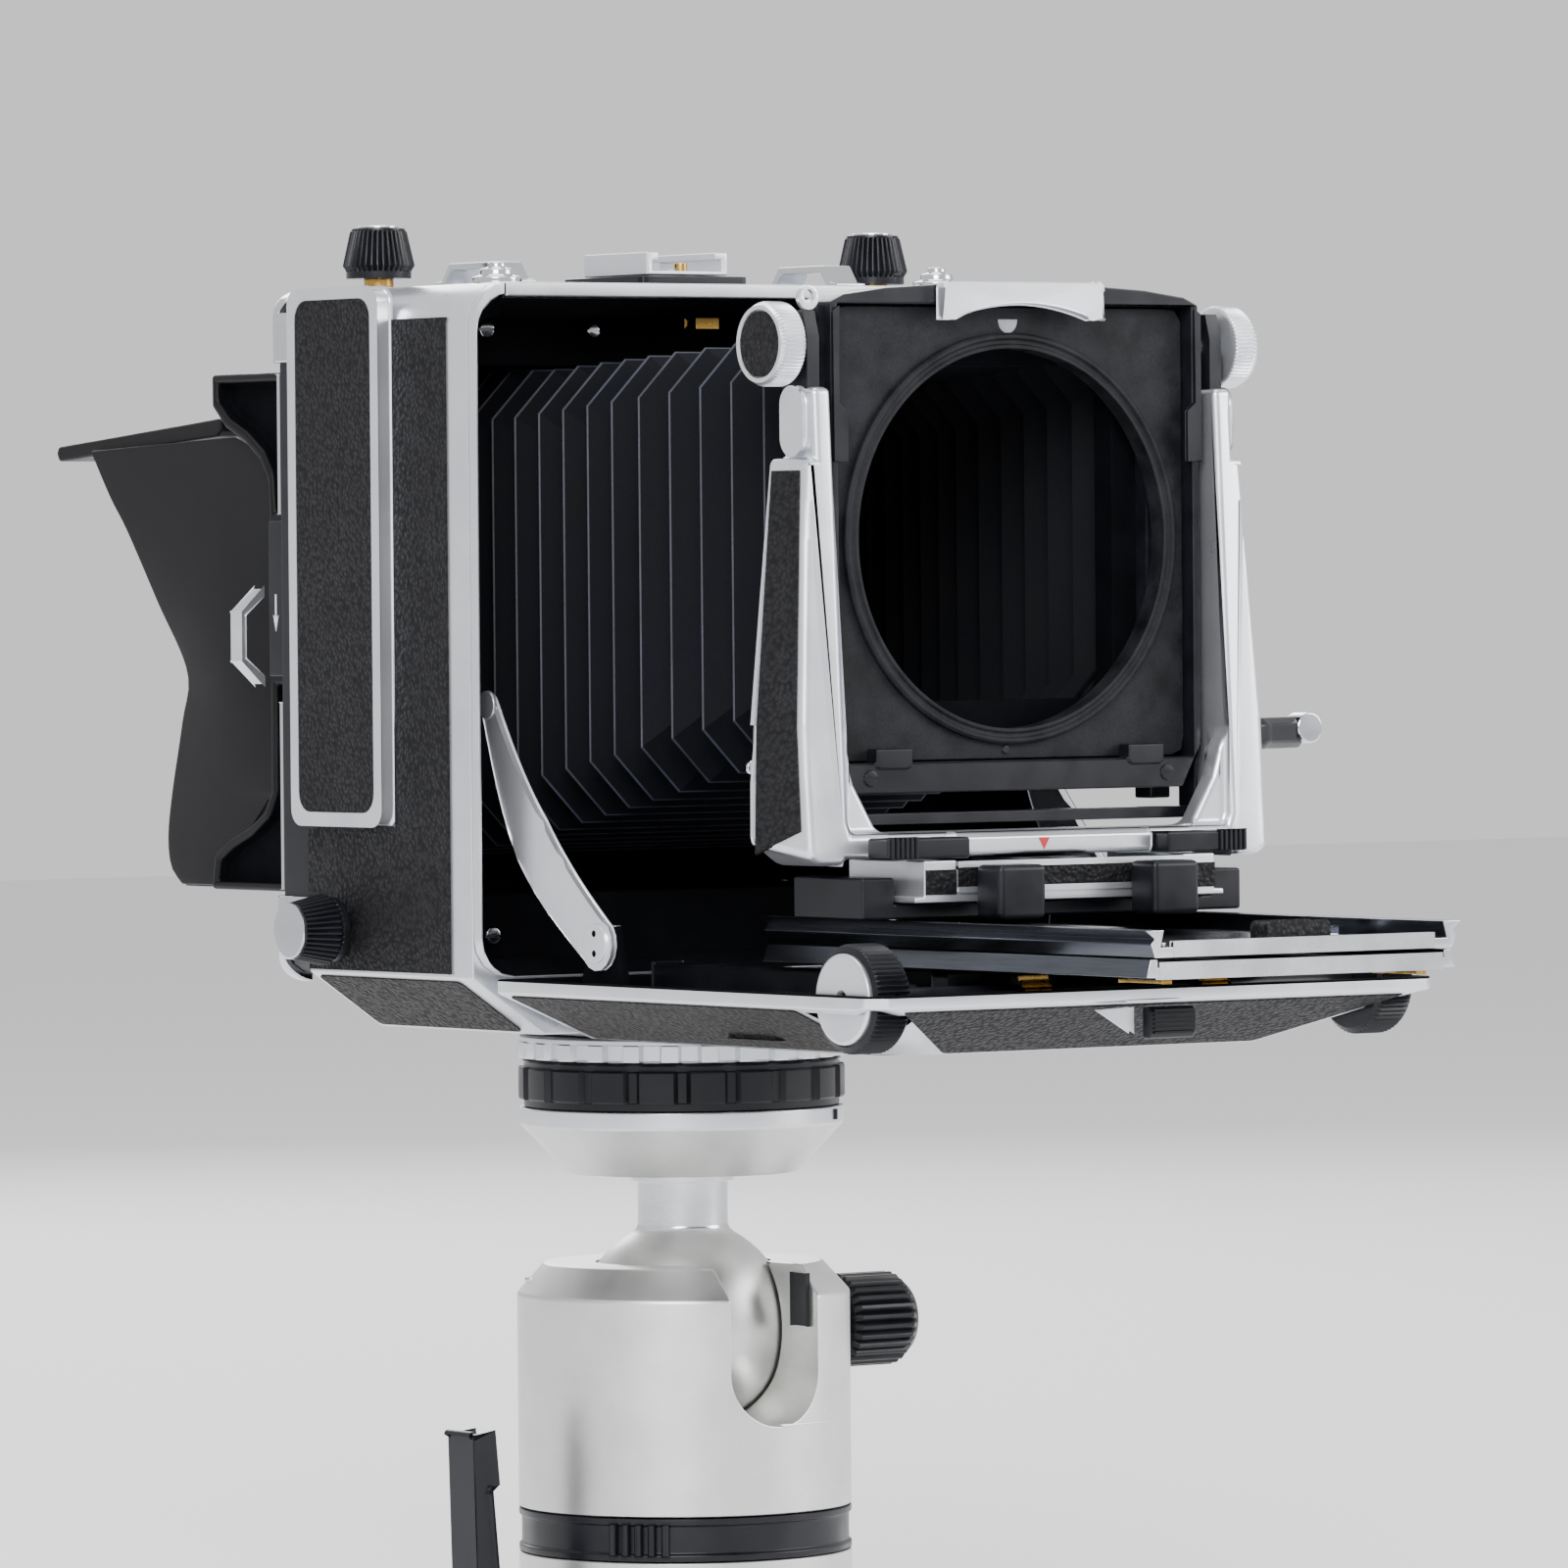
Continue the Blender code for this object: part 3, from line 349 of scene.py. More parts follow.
def addPiece(name, bm, materials, body, stands=(), choose=None, slot=None, sharp=32):
    # turns a shape into a piece of the camera that rides on a body
    materials = materials if isinstance(materials, (list, tuple)) else [materials]
    bmesh.ops.recalc_face_normals(bm, faces=bm.faces)
    if choose:
        bm.normal_update()
        for face in bm.faces:
            face.material_index = choose(face.calc_center_median(), face.normal)
    bmesh.ops.transform(bm, matrix=Matrix.Translation(lensCentre) @ Matrix.Scale(mm, 4), verts=bm.verts)
    mesh = bpy.data.meshes.new(name)
    bm.to_mesh(mesh)
    bm.free()
    mesh.shade_smooth()
    mesh.set_sharp_from_angle(angle=math.radians(sharp))
    for material in materials:
        mesh.materials.append(material)
    piece = bpy.data.objects.new(name, mesh)
    bpy.context.scene.collection.objects.link(piece)
    if body:
        weigh = piece.modifiers.new("FlatFacesStayFlat", "WEIGHTED_NORMAL")
        weigh.keep_sharp = True
        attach(piece, body)
    stands = [stands] if isinstance(stands, str) else list(stands)
    if stands:
        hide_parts(*stands)
    slot = slot or (slotOf[stands[0]] if stands else None)
    return piece


def softCopy(node, materials, width=0.5, choose=None, segments=2, angle=30, clamp=True, change=None):
    # the node's own shape with the small rounded edges that the casting or machining leaves
    bm = bmesh.new()
    bm.from_mesh(frame["nodes"][node].data)
    bmesh.ops.transform(bm, matrix=Matrix.Scale(1 / mm, 4) @ Matrix.Translation(-lensCentre), verts=bm.verts)
    bmesh.ops.remove_doubles(bm, verts=bm.verts, dist=0.002)
    bmesh.ops.dissolve_limit(bm, angle_limit=math.radians(0.6), verts=bm.verts, edges=bm.edges)
    if change:
        bm = change(bm)
    if width:
        softenEdges(bm, width, angle, segments, clamp)
    return addPiece(f"{node}_finished", bm, materials, bodyOf[node], node, choose)


def boxOf(node):
    low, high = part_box(node)
    return (low - lensCentre) / mm, (high - lensCentre) / mm


def across(side, near, far):
    return (near, far) if side > 0 else (-far, -near)


def polygonInset(points, border, radius, steps=4):
    # a convex outline moved inwards by the border, with rounded corners
    area = sum(a[0] * b[1] - b[0] * a[1] for a, b in zip(points, points[1:] + points[:1]))
    if area < 0:
        points = points[::-1]
    corners = []
    for before, here, after in zip(points[-1:] + points[:-1], points, points[1:] + points[:1]):
        a = (Vector(here) - Vector(before)).normalized()
        b = (Vector(after) - Vector(here)).normalized()
        inward = Vector((-a.y, a.x)) + Vector((-b.y, b.x))
        corners.append(Vector(here) + inward * border / max(0.3, 1 + a.dot(b)))
    outline = []
    for before, here, after in zip(corners[-1:] + corners[:-1], corners, corners[1:] + corners[:1]):
        back, ahead = before - here, after - here
        cut = min(radius, back.length * 0.45, ahead.length * 0.45)
        start, end = here + back.normalized() * cut, here + ahead.normalized() * cut
        for k in range(steps + 1):
            t = k / steps
            outline.append(tuple(start * (1 - t) ** 2 + here * 2 * t * (1 - t) + end * t * t))
    return outline


def coverPanel(name, corners, body, material, border, radius, proud=0.45, sink=0.3):
    # a sheet of leathercloth glued on a flat face, given by its corners; it stands a little proud of the face
    corners = [Vector(c) for c in corners]
    along = (corners[1] - corners[0]).normalized()
    normal = along.cross(corners[2] - corners[1]).normalized()
    aside = normal.cross(along)
    flat = [((c - corners[0]).dot(along), (c - corners[0]).dot(aside)) for c in corners]
    bm = bmesh.new()
    rings = []
    for inset, height in ((border, -sink), (border, proud * 0.55), (border + 0.35, proud)):
        outline = polygonInset(flat, inset, radius)
        rings.append([bm.verts.new(corners[0] + along * u + aside * v + normal * height) for u, v in outline])
    for low, high in zip(rings, rings[1:]):
        for i in range(len(low)):
            j = (i + 1) % len(low)
            bm.faces.new((low[i], low[j], high[j], high[i]))
    bm.faces.new(rings[0])
    bm.faces.new(rings[-1])
    return addPiece(name, bm, material, body, slot="leather")


def addScrew(name, centre, axis, way, body, radius=2.2, height=0.6, material=None, slotted=True):
    # a low cheese-head screw, with its driving slot cut across it, or a plain headed pin
    u, v, h = {"x": (centre[1], centre[2], centre[0]), "y": (centre[0], centre[2], centre[1]),
               "z": centre}[axis]
    bm = turned(axis, u, v, eased([(0, h - way * 0.4), (radius, h - way * 0.4), (radius, h + way * height),
                                   (0, h + way * height)], 0.25), 32)
    if slotted:
        top = sorted((h + way * height * 0.35, h + way * (height + 1)))
        bm = combine(bm, prism(axis, rectangle(u - radius * 1.2, u + radius * 1.2, v - 0.28, v + 0.28), *top))
    return addPiece(name, bm, material or chromePlate, body, sharp=40)


def pointOf(joint):
    return (Vector(pivots[joint]) - lensCentre) / mm


def cosineTeeth(count, power=1.0):
    return lambda turn: (0.5 + 0.5 * math.cos(count * turn)) ** power


def padTeeth(count, gap=0.2):
    # flat pads with narrow flat gaps between them
    return lambda turn: 1.0 if (turn * count / (2 * math.pi) + 1e-6) % 1 < gap else 0.0


def smoothRun(points, count):
    # an open curve through the points, read at even steps along them
    runs = [0.0]
    for a, b in zip(points, points[1:]):
        runs.append(runs[-1] + (Vector(b) - Vector(a)).length)
    places = []
    for k in range(count + 1):
        want = runs[-1] * k / count
        i = next((n for n in range(1, len(runs)) if runs[n] >= want - 1e-9), len(runs) - 1)
        t = (want - runs[i - 1]) / (runs[i] - runs[i - 1])
        a, b, c, d = (Vector(points[max(0, min(len(points) - 1, i + n))]) for n in (-2, -1, 0, 1))
        places.append(tuple(0.5 * (2 * b + (c - a) * t + (2 * a - 5 * b + 4 * c - d) * t ** 2
                                   + (3 * b - 3 * c + d - a) * t ** 3)))
    return places


def mergeInto(target, bm):
    spare = bpy.data.meshes.new("part")
    bm.to_mesh(spare)
    bm.free()
    target.from_mesh(spare)
    bpy.data.meshes.remove(spare)


# the ball head

head = {"count": 128, "edge": 0.5, "pads": 20, "padHeight": 1.3, "lands": 26, "landHeight": 1.5,
        "knobRibs": 28, "gripRibs": 5, "gripTurn": 219.2, "gripStep": 4.6}


def makeHead():
    axisY = pointOf("head_pan").y
    low, high = boxOf("head_base")
    radius = high.x
    edge, count = head["edge"], head["count"]
    socket = low.z + 12
    thread = [(4.85 + 0.35 * (k % 2), socket - 0.6 - 0.8 * k) for k in range(14)]
    base = eased([(0, socket), (4.85, socket), *thread, (5.4, low.z), (30, low.z), (33, low.z + 3),
                  (radius, low.z + 16), (radius, high.z), (0, high.z)], edge)
    addPiece("headBase", turned("z", 0, axisY, base, count), beadBlasted, "base", "head_base")
    low, high = boxOf("pan_ring")
    lip = 1.4
    ring = eased([(0, low.z), (radius, low.z), (radius, low.z + lip), (radius - 0.6, low.z + lip + 0.4),
                  (radius - 0.6, high.z - lip - 0.4), (radius, high.z - lip), (radius, high.z),
                  (0, high.z)], 0.25)
    addPiece("panRing", turned("z", 0, axisY, ring, count), blackAnodisedAndShade, "pan_head", "pan_ring")
    grip = bmesh.new()
    for k in range(head["gripRibs"]):
        turn = math.radians(head["gripTurn"] + head["gripStep"] * (k - (head["gripRibs"] - 1) / 2))
        out, side = Vector((math.cos(turn), math.sin(turn))), Vector((-math.sin(turn), math.cos(turn)))
        corners = [(-1, -0.9), (-1, 0.9), (0.7, 0.9), (1.3, 0.35), (1.3, -0.35), (0.7, -0.9)]
        outline = [tuple(Vector((0, axisY)) + out * (radius + a) + side * b) for a, b in corners]
        rib = prism("z", outline, low.z + 1.2, high.z - 1.2)
        softenEdges(rib, 0.25)
        mergeInto(grip, rib)
    addPiece("panRingGrip", grip, blackAnodisedAndShade, "pan_head", slot="black_anodised")
    makeHousing(axisY, radius)
    makeBall(axisY)
    makePlatform(axisY)


def makeHousing(axisY, radius):
    low, high = boxOf("head_housing")
    centre = pointOf("ball_nod")
    socketR = 25.0
    mouth = math.degrees(math.asin((high.z - centre.z) / socketR))
    socket = [(r, centre.z + h) for r, h in arc(0, 0, socketR, mouth, -80, 20)]
    outside = eased([(0, low.z), (radius, low.z), (radius, high.z - 7), (32, high.z), (28, high.z)], 0.6)
    housing = turned("z", 0, axisY, [*outside, *socket, (0, centre.z - socketR)], head["count"])
    notchR, notchZ = 12.0, -189.0
    notch = [*arc(0, notchZ, notchR, 180, 360, 28), (notchR, high.z + 5), (-notchR, high.z + 5)]
    housing = combine(housing, prism("y", notch, axisY - 50, axisY - 2))
    softenEdges(housing, 0.45, 38, 2, False)
    addPiece("headHousing", housing, beadBlasted, "pan_head", "head_housing")
    # a thin black strip on the right wall of the notch: painted shade, where that wall falls in shadow
    notchShadeStrip = prism("y", rectangle(notchR - 1.0, notchR - 0.1, high.z - 14, high.z - 2), axisY - radius + 5,
                  axisY - 27)
    addPiece("notchWallShade", softenEdges(notchShadeStrip, 0.15), blackAnodisedAndShade, "pan_head", slot="black_anodised")
    for turn in (152, 28):
        x, y = 35.2 * math.cos(math.radians(turn)), 35.2 * math.sin(math.radians(turn))
        addScrew(f"housingPin{turn}", (x, axisY + y, high.z - 3.9), "z", 1, "pan_head", 1.5, 0.5)
    knob = pointOf("ball_lock")
    low, high = boxOf("ball_lock_knob")
    r = (high.z - low.z) / 2
    profile = eased([(0, low.x), (6, low.x), (6, low.x + 3)], 0.3) + [(r - 1.6, low.x + 3.4)] + \
        [(r, low.x + 4.6 + 14.6 * t, True) for t in (0, 0.5, 1)] + \
        eased([(r - 1.5, high.x - 1.2), (r - 2.2, high.x), (r - 5, high.x), (r - 5.5, high.x - 0.6),
               (0, high.x - 0.6)], 0.2)
    body = turned("x", knob.y, knob.z, profile, head["knobRibs"] * 8, cosineTeeth(head["knobRibs"], 2.5), 1.3)
    addPiece("ballLockKnob", body, blackAnodisedAndShade, "ball_lock_knob", "ball_lock_knob")
    low, high = boxOf("pan_lever")
    arm = [(-57.6, low.z), (-51.8, low.z + 2), (-51.2, low.z + 9), (-54.6, low.z + 14),
           (-56.4, high.z - 12.5), (-55.0, high.z - 11), (-56.0, high.z), (-61.9, high.z),
           (-60.8, low.z + 4)]
    arm = softenEdges(prism("y", arm, axisY - 4.0, axisY + 4.0), 1.1, segments=3)
    pivot = pointOf("pan_lock")
    hub = eased([(0, high.x), (5.9, high.x), (5.9, -46), (5.2, -47), (5.2, -56.5), (0, -56.5)], 0.4)
    mergeInto(arm, turned("x", pivot.y, pivot.z, hub, 64))
    addPiece("panLever", arm, blackAnodisedAndShade, "pan_lever", "pan_lever")


def makeBall(axisY):
    centre = pointOf("ball_nod")
    low, high = boxOf("ball")
    ballR, neckR = centre.z - low.z, 10.4
    joinTurn = math.degrees(math.acos(neckR / ballR))
    profile = [(0, low.z), *[(r, centre.z + h) for r, h in arc(0, 0, ballR, -84, joinTurn - 4, 40)]]
    neckLow = centre.z + ballR * math.sin(math.radians(joinTurn))
    profile += [(neckR + 0.4, neckLow + 0.2), (neckR, neckLow + 1.4), (neckR, high.z - 2.0),
                (neckR + 1.4, high.z - 1.6), (neckR + 1.4, high.z), (0, high.z)]
    addPiece("ballAndNeck", turned("z", 0, axisY, profile, head["count"]), [beadBlasted, drawnAluminium],
             "ball", "ball", lambda at, normal: int(at.z > neckLow + 0.3))


def makePlatform(axisY):
    edge, count = head["edge"], head["count"]
    low, high = boxOf("platform_dish")
    bandR, dishR, bore = high.x, 26.6, 5.3
    bandZ = high.z - 4
    profile = [(0, low.z), *eased([(dishR - 1, low.z), (dishR, low.z), (bandR, bandZ), (bandR, high.z),
                                   (bandR - 3, high.z)], edge),
               (bore, high.z), (bore, low.z + 6), (9.5, low.z + 6), (9.5, low.z + 1.5), (0, low.z + 1.5)]
    addPiece("platformDish", turned("z", 0, axisY, profile, count), [beadBlasted, satinEnamel], "camera",
             "platform_dish", lambda at, normal: int(at.z > bandZ + 0.4))
    turn = math.radians(-55)
    mark = prism("z", [(bandR * math.cos(turn) + a, axisY + bandR * math.sin(turn) + b)
                       for a, b in circle(0, 0, 0.7, 12)], bandZ + 1.0, high.z - 0.6)
    addPiece("dishIndexMark", mark, blackAnodisedAndShade, "camera", slot="black_anodised")
    low, high = boxOf("clamp_ring")
    outer, inner, lip = high.x, 26.0, 1.6
    base = outer - head["padHeight"]
    ring = [(inner, low.z), *eased([(base, low.z), (base, low.z + lip)], 0.2),
            (outer - 0.2, low.z + lip, True), (outer, low.z + lip + 0.4, True),
            (outer, high.z - lip - 0.4, True), (outer - 0.2, high.z - lip, True),
            *eased([(base, high.z - lip), (base, high.z - 0.5), (base + 0.5, high.z), (inner, high.z)], 0.2)]
    addPiece("clampRing", turned("z", 0, axisY, ring, head["pads"] * 12, padTeeth(head["pads"]),
                                 head["padHeight"]), blackAnodisedAndShade, "clamp_ring", "clamp_ring", sharp=25)
    low, high = boxOf("camera_plate")
    outer, step = high.x, -118.0
    notches = [(5.3, low.z), (25.5, low.z), (25.5, step), (outer - head["landHeight"], step),
               (outer - 0.2, step + 0.2, True), (outer, step + 0.5, True), (outer, high.z - 1.4, True),
               (outer - 0.3, high.z - 1.1, True), *eased([(outer - 0.3, high.z - 1.0), (outer - 0.3, high.z),
                                                          (5.3, high.z)], 0.3)]
    addPiece("cameraPlate", turned("z", 0, axisY, notches, head["lands"] * 12, padTeeth(head["lands"], 0.42),
                                   head["landHeight"]), satinEnamel, "camera", "camera_plate", sharp=25)


# the camera body

body = {"lip": 8.6, "leatherTop": 50.4, "leather": 0.45, "floor": -110.0, "sideLow": -97.0, "wall": 120.0}


def makeBody():
    low, high = boxOf("body_shell")
    half, front, back = high.x, low.y, high.y
    floor, sideLow, wall = body["floor"], body["sideLow"], body["wall"]

    def openMouth(bm):
        # the walls thin towards the front, so that only a narrow lip shows around the mouth
        wide = rectangle(-80.2, 80.2, -96.4, 55.6, 8.4)
        cavity = rectangle(-77, 77, -93.5, 51.3, 8)
        return combine(bm, loft("y", [(front - 6, wide), (front - 3, wide), (front + 5.6, cavity)]))

    def facesIn(at, normal):
        return at.x * normal.x + (at.z + 20) * normal.z < -1

    def shellFinish(at, normal):
        if facesIn(at, normal) or abs(normal.y) > 0.9 and at.y > front + 4:
            return 1
        return 2 if normal.z < -0.9 and at.z < floor + 0.5 else 0

    softCopy("body_shell", [satinEnamel, flockedBlackAndShade, blackLeather], 0.3, shellFinish, clamp=False, angle=40,
             change=openMouth)
    softCopy("front_bezel", [satinEnamel, flockedBlackAndShade], 0.25, lambda at, normal: int(facesIn(at, normal)), 2,
             clamp=False, change=openMouth)
    softCopy("body_top_flap", satinEnamel, 0.4)
    for name, side in sides:
        start, end = front + body["lip"], back - 0.6
        notch = [(start, sideLow + 0.9), (end, sideLow + 0.9), (end, -63.4), (wall + 0.2, -63.4),
                 (wall + 0.2, body["leatherTop"]), (start, body["leatherTop"])]
        skin = prism("x", notch, *across(side, half - 0.2, half + body["leather"]))
        softenEdges(skin, 0.22)
        addPiece(f"sideLeather_{name}", skin, blackLeather, "camera", slot="leather")
        corners = [(half * side, start - 3, sideLow), (half * side, end, sideLow), (62 * side, end, floor),
                   (62 * side, start - 3, floor)]
        coverPanel(f"bevelLeather_{name}", corners[::side], "camera", brownedLeather, 1.3, 1.5)
        makeSidePlate(name, side, half)
        softCopy(f"strap_lug_{name}", chromePlate, 0.3)
        low, high = boxOf(f"body_button_{name}")
        centre = (low + high) / 2
        foot = low.z
        profile = eased([(0, foot), (5.6, foot), (5.6, foot + 1.4), (3.9, foot + 1.8), (3.7, foot + 3.2),
                         (2.2, foot + 3.5), (2.0, foot + 4.7), (0, foot + 4.8)], 0.35)
        addPiece(f"bodyButton_{name}", turned("z", centre.x, centre.y, profile, 48), chromePlate,
                 f"button_{name}", f"body_button_{name}")
    softCopy("shoe_base", blackAnodisedAndShade, 0.3)
    softCopy("accessory_shoe", satinEnamel, 0.3)
    low, high = boxOf("accessory_shoe")
    for x in (-4.5, 4.5):
        addScrew(f"shoeScrew{int(x + 5)}", (x, (low.y + high.y) / 2, low.z + 1.0), "z", 1, "camera", 1.7, 0.5)
    addScrew("shoeStop", (0, low.y + 2.6, low.z + 1.0), "z", 1, "camera", 1.5, 1.8, turnedBrass)
    # rivets and screws on the wall behind the mouth of the body
    rivets = ((-56.2, 48.6, 2.0), (-56.0, -88.7, 2.0), (56.2, 48.6, 2.0), (56.0, -88.7, 2.0),
              (-26.9, 48.4, 1.6))
    for k, (x, z, r) in enumerate(rivets):
        addScrew(f"wallRivet{k}", (x, wall - 0.2, z), "y", -1, "camera", r, 0.8)
    for name, side in sides:
        button = eased([(0, 119.6), (2.1, 119.6), (2.1, 117.8), (0, 117.4)], 0.5)
        addPiece(f"wallButton_{name}", turned("y", side * 72.635, 45.6, button, 32), chromePlate, "camera",
                 slot="chrome")
    catch = softenEdges(prism("y", rectangle(-3.6, 2.0, 49.3, 51.2), 111.5, 116.0), 0.4)
    addPiece("infinityCatch", catch, turnedBrass, "camera", slot="brass")


def makeSidePlate(name, side, half):
    low, high = boxOf(f"side_plate_{name}")
    near, far = half + 0.3, half + 4.5
    y0, y1, z0, z1 = low.y, high.y, low.z, high.z
    plate = prism("x", rectangle(y0, y1, z0, z1, 3.2), *across(side, near, far))
    softenEdges(plate, 0.8, segments=3)
    inset = rectangle(y0 + 2.4, y1 - 2.4, z0 + 2.4, z1 - 1.9, 4.5)
    plate = combine(plate, prism("x", inset, *across(side, far - 0.7, far + 1)))
    addPiece(f"sidePlate_{name}", plate, satinEnamel, "camera", f"side_plate_{name}", slot="silver")
    inset = rectangle(y0 + 2.5, y1 - 2.5, z0 + 2.5, z1 - 2.0, 4.4)
    skin = prism("x", inset, *across(side, far - 0.75, far - 0.15))
    addPiece(f"sidePlateLeather_{name}", softenEdges(skin, 0.25), blackLeather, "camera", slot="leather")


# the back, its knobs and the hood

back = {"teeth": 36, "guard": 1.5, "guardReach": 9.5}


def makeBack():
    softCopy("back_frame", blackAnodisedAndShade, 0.6, clamp=False, angle=40)
    low, high = boxOf("back_frame")
    grow, reach = back["guard"], back["guardReach"]
    for name, side in sides:
        for level, (z0, z1) in (("top", (42.0, high.z + grow)), ("low", (low.z - grow, -80.0))):
            x = high.x + grow
            outer = [(x, low.y + 1), *arc(x - 6, high.y + 4.4 - 6, 6, 0, 90, 8), (x - reach, high.y + 4.4)]
            inner = [(x - reach, high.y + 0.2), (x - grow, high.y + 0.2), (x - grow, low.y + 1)]
            outline = [(u * side, v) for u, v in outer + inner]
            guard = prism("z", outline, z0, z1)
            rounded = rectangle(-x, x, low.z - grow, high.z + grow, 10.5, 10)
            guard = combine(guard, prism("y", rounded, low.y - 5, high.y + 20), "INTERSECT")
            softenEdges(guard, 0.5, 38, 3, False)
            addPiece(f"cornerGuard_{level}_{name}", guard, chromePlate, "back", slot="chrome")
    for level in ("top", "side"):
        for name, side in sides:
            makeClampKnob(level, name, side)
    softCopy("revolving_back", mouldedRubber, 0.8, clamp=False, angle=40)
    softCopy("ground_glass", groundGlass, 0.3)
    makeHood()


def makeClampKnob(level, name, side):
    # a conical knurled knob with a bright cap, on a brass pin
    node = f"back_knob_{level}_{name}"
    centre = pointOf(f"knob_{level}_{name}_turn")
    way = 1 if level == "top" else side
    start = centre.z if level == "top" else centre.x
    pin, capR = 1.9, 4.7 if level == "top" else 6.3
    shoulder = max(6.1, capR + 0.1)

    def along(points):
        return [(r, start + way * h, *more) for r, h, *more in points]

    grip = along(eased([(0, pin), (7.4, pin), (7.4, pin + 1.6)], 0.3)
                 + [(7.5, pin + 1.9, True), (8.2, pin + 3.0, True), (6.5, pin + 10.6, True)]
                 + [(shoulder, pin + 11.0)]
                 + eased([(shoulder - 0.05, pin + 11.4), (capR, pin + 11.5), (0, pin + 11.5)], 0.2))
    cap = along(eased([(0, pin + 11.4), (capR, pin + 11.4), (capR, pin + 12.0), (0, pin + 12.1)], 0.3))
    stem = along(eased([(0, 0), (3.4, 0), (3.4, pin), (0, pin)], 0.2))
    axis, u, v = ("z", centre.x, centre.y) if level == "top" else ("x", centre.y, centre.z)
    turn = f"knob_{level}_{name}"
    knob = turned(axis, u, v, grip, back["teeth"] * 8, cosineTeeth(back["teeth"], 1.5), 0.75)
    addPiece(f"clampKnob_{level}_{name}", knob, blackAnodisedAndShade, turn, node)
    addPiece(f"clampKnobCap_{level}_{name}", turned(axis, u, v, cap, 64), chromePlate, turn, slot="chrome")
    addPiece(f"clampKnobPin_{level}_{name}", turned(axis, u, v, stem, 48), turnedBrass, turn, slot="brass")


hood = {"sheet": 1.4, "inner": 56.2, "rows": 44, "columns": 8, "swell": 1.8, "pocket": 4.0, "lip": 1.2}


def makeHood():
    low, high = boxOf("hood_base")
    start, deep = low.y + 10.2, hood["pocket"]
    upper = [(start, 38.4), (223.6, 38.4), (223.6, 34.2), (218.6, 30.1), (210.8, 26.9), (203.8, 22.4),
             (199.8, 17), (199.0, 8.0), (start, 8.0)]
    lower = [(start, -32.0), (199.0, -32.0), (199.2, -57.2), (202.8, -62.9), (210.2, -67.2), (218.9, -70.4),
             (224.4, -73.4), (225.5, -78.2), (start, -78.2)]

    def pockets(bm):
        # the side walls are hollow between a raised lip and the frame, with a thin rib across
        for name, side in sides:
            for outline in (upper, lower):
                bm = combine(bm, prism("x", outline, *across(side, high.x - deep, high.x + 2)))
        return bm

    # painted shade: the floor and walls of each pocket take the flocked black, darker than the moulded plastic
    # around them
    def pocketShade(at, normal):
        return int(high.x - deep - 0.2 < abs(at.x) < high.x - hood["lip"] and start - 0.2 < at.y < 226)

    softCopy("hood_base", [mouldedRubber, flockedBlackAndShade], 0.9, pocketShade, clamp=False, angle=25, segments=3,
             change=pockets)
    for name, side in sides:
        for part, z0, z1 in (("upper", 7.5, 40.0), ("lower", -79.5, -36.0)):
            strip = rectangle(*across(side, high.x - 0.3, high.x + 0.7), low.y + 8.2, low.y + 9.8)
            trim = softenEdges(prism("z", strip, z0, z1), 0.2)
            addPiece(f"hoodTrim_{part}_{name}", trim, chromePlate, "revolving_back", slot="chrome")
    makeHoodSheets()
    makeLockAndPull()


def makeHoodSheets():
    softCopy("hood_flap", mouldedRubber, 0.7, segments=3)
    # each side sheet runs from its hinge in the frame to a free waisted edge, and swells a little between
    wall = [(229, -79.4), (228.8, -73.5), (220, -66.6), (214, -61.6), (210.3, -58.4), (204.9, -54.5),
            (204.9, -20), (204.9, 12), (210.3, 16.6), (214, 22), (224, 26.0)]
    rear = [(249.5, -79.4), (254.4, -75.3), (255.6, -68), (253.6, -57.6), (248.8, -41), (246.4, -29.2),
            (259.4, -12.6), (272.6, 4.1), (280.4, 12.5), (289, 23.6)]
    rows, columns = hood["rows"], hood["columns"]
    near, far = smoothRun(wall, rows), smoothRun(rear, rows)
    for name, side, hingeY in (("left", -1, 204.3), ("right", 1, 208.3)):
        bm = bmesh.new()
        skins = []
        for thick in (0.0, hood["sheet"]):
            skin = []
            for (y0, z0), (y1, z1) in zip(near, far):
                run = []
                for k in range(columns + 1):
                    t = k / columns
                    y, z = y0 + (y1 - y0) * t, z0 + (z1 - z0) * t
                    bulge = math.sin(math.pi * t) * (0.55 + 0.45 * math.cos((z + 29) / 18))
                    x = hood["inner"] + thick + hood["swell"] * bulge
                    run.append(bm.verts.new((side * x, max(y, hingeY + 0.5), z)))
                skin.append(run)
            skins.append(skin)
        for skin in skins:
            for low, high in zip(skin, skin[1:]):
                for k in range(columns):
                    bm.faces.new((low[k], low[k + 1], high[k + 1], high[k]))
        borders = []
        for skin in skins:
            farEdge, nearEdge = [run[-1] for run in skin[1:]], [run[0] for run in skin[-2:0:-1]]
            borders.append(skin[0] + farEdge + skin[-1][-2::-1] + nearEdge)
        for i in range(len(borders[0])):
            j = (i + 1) % len(borders[0])
            bm.faces.new((borders[0][i], borders[0][j], borders[1][j], borders[1][i]))
        addPiece(f"hoodSheet_{name}", softenEdges(bm, 0.4, 50), mouldedRubber, f"hood_side_{name}",
                 f"hood_side_{name}")


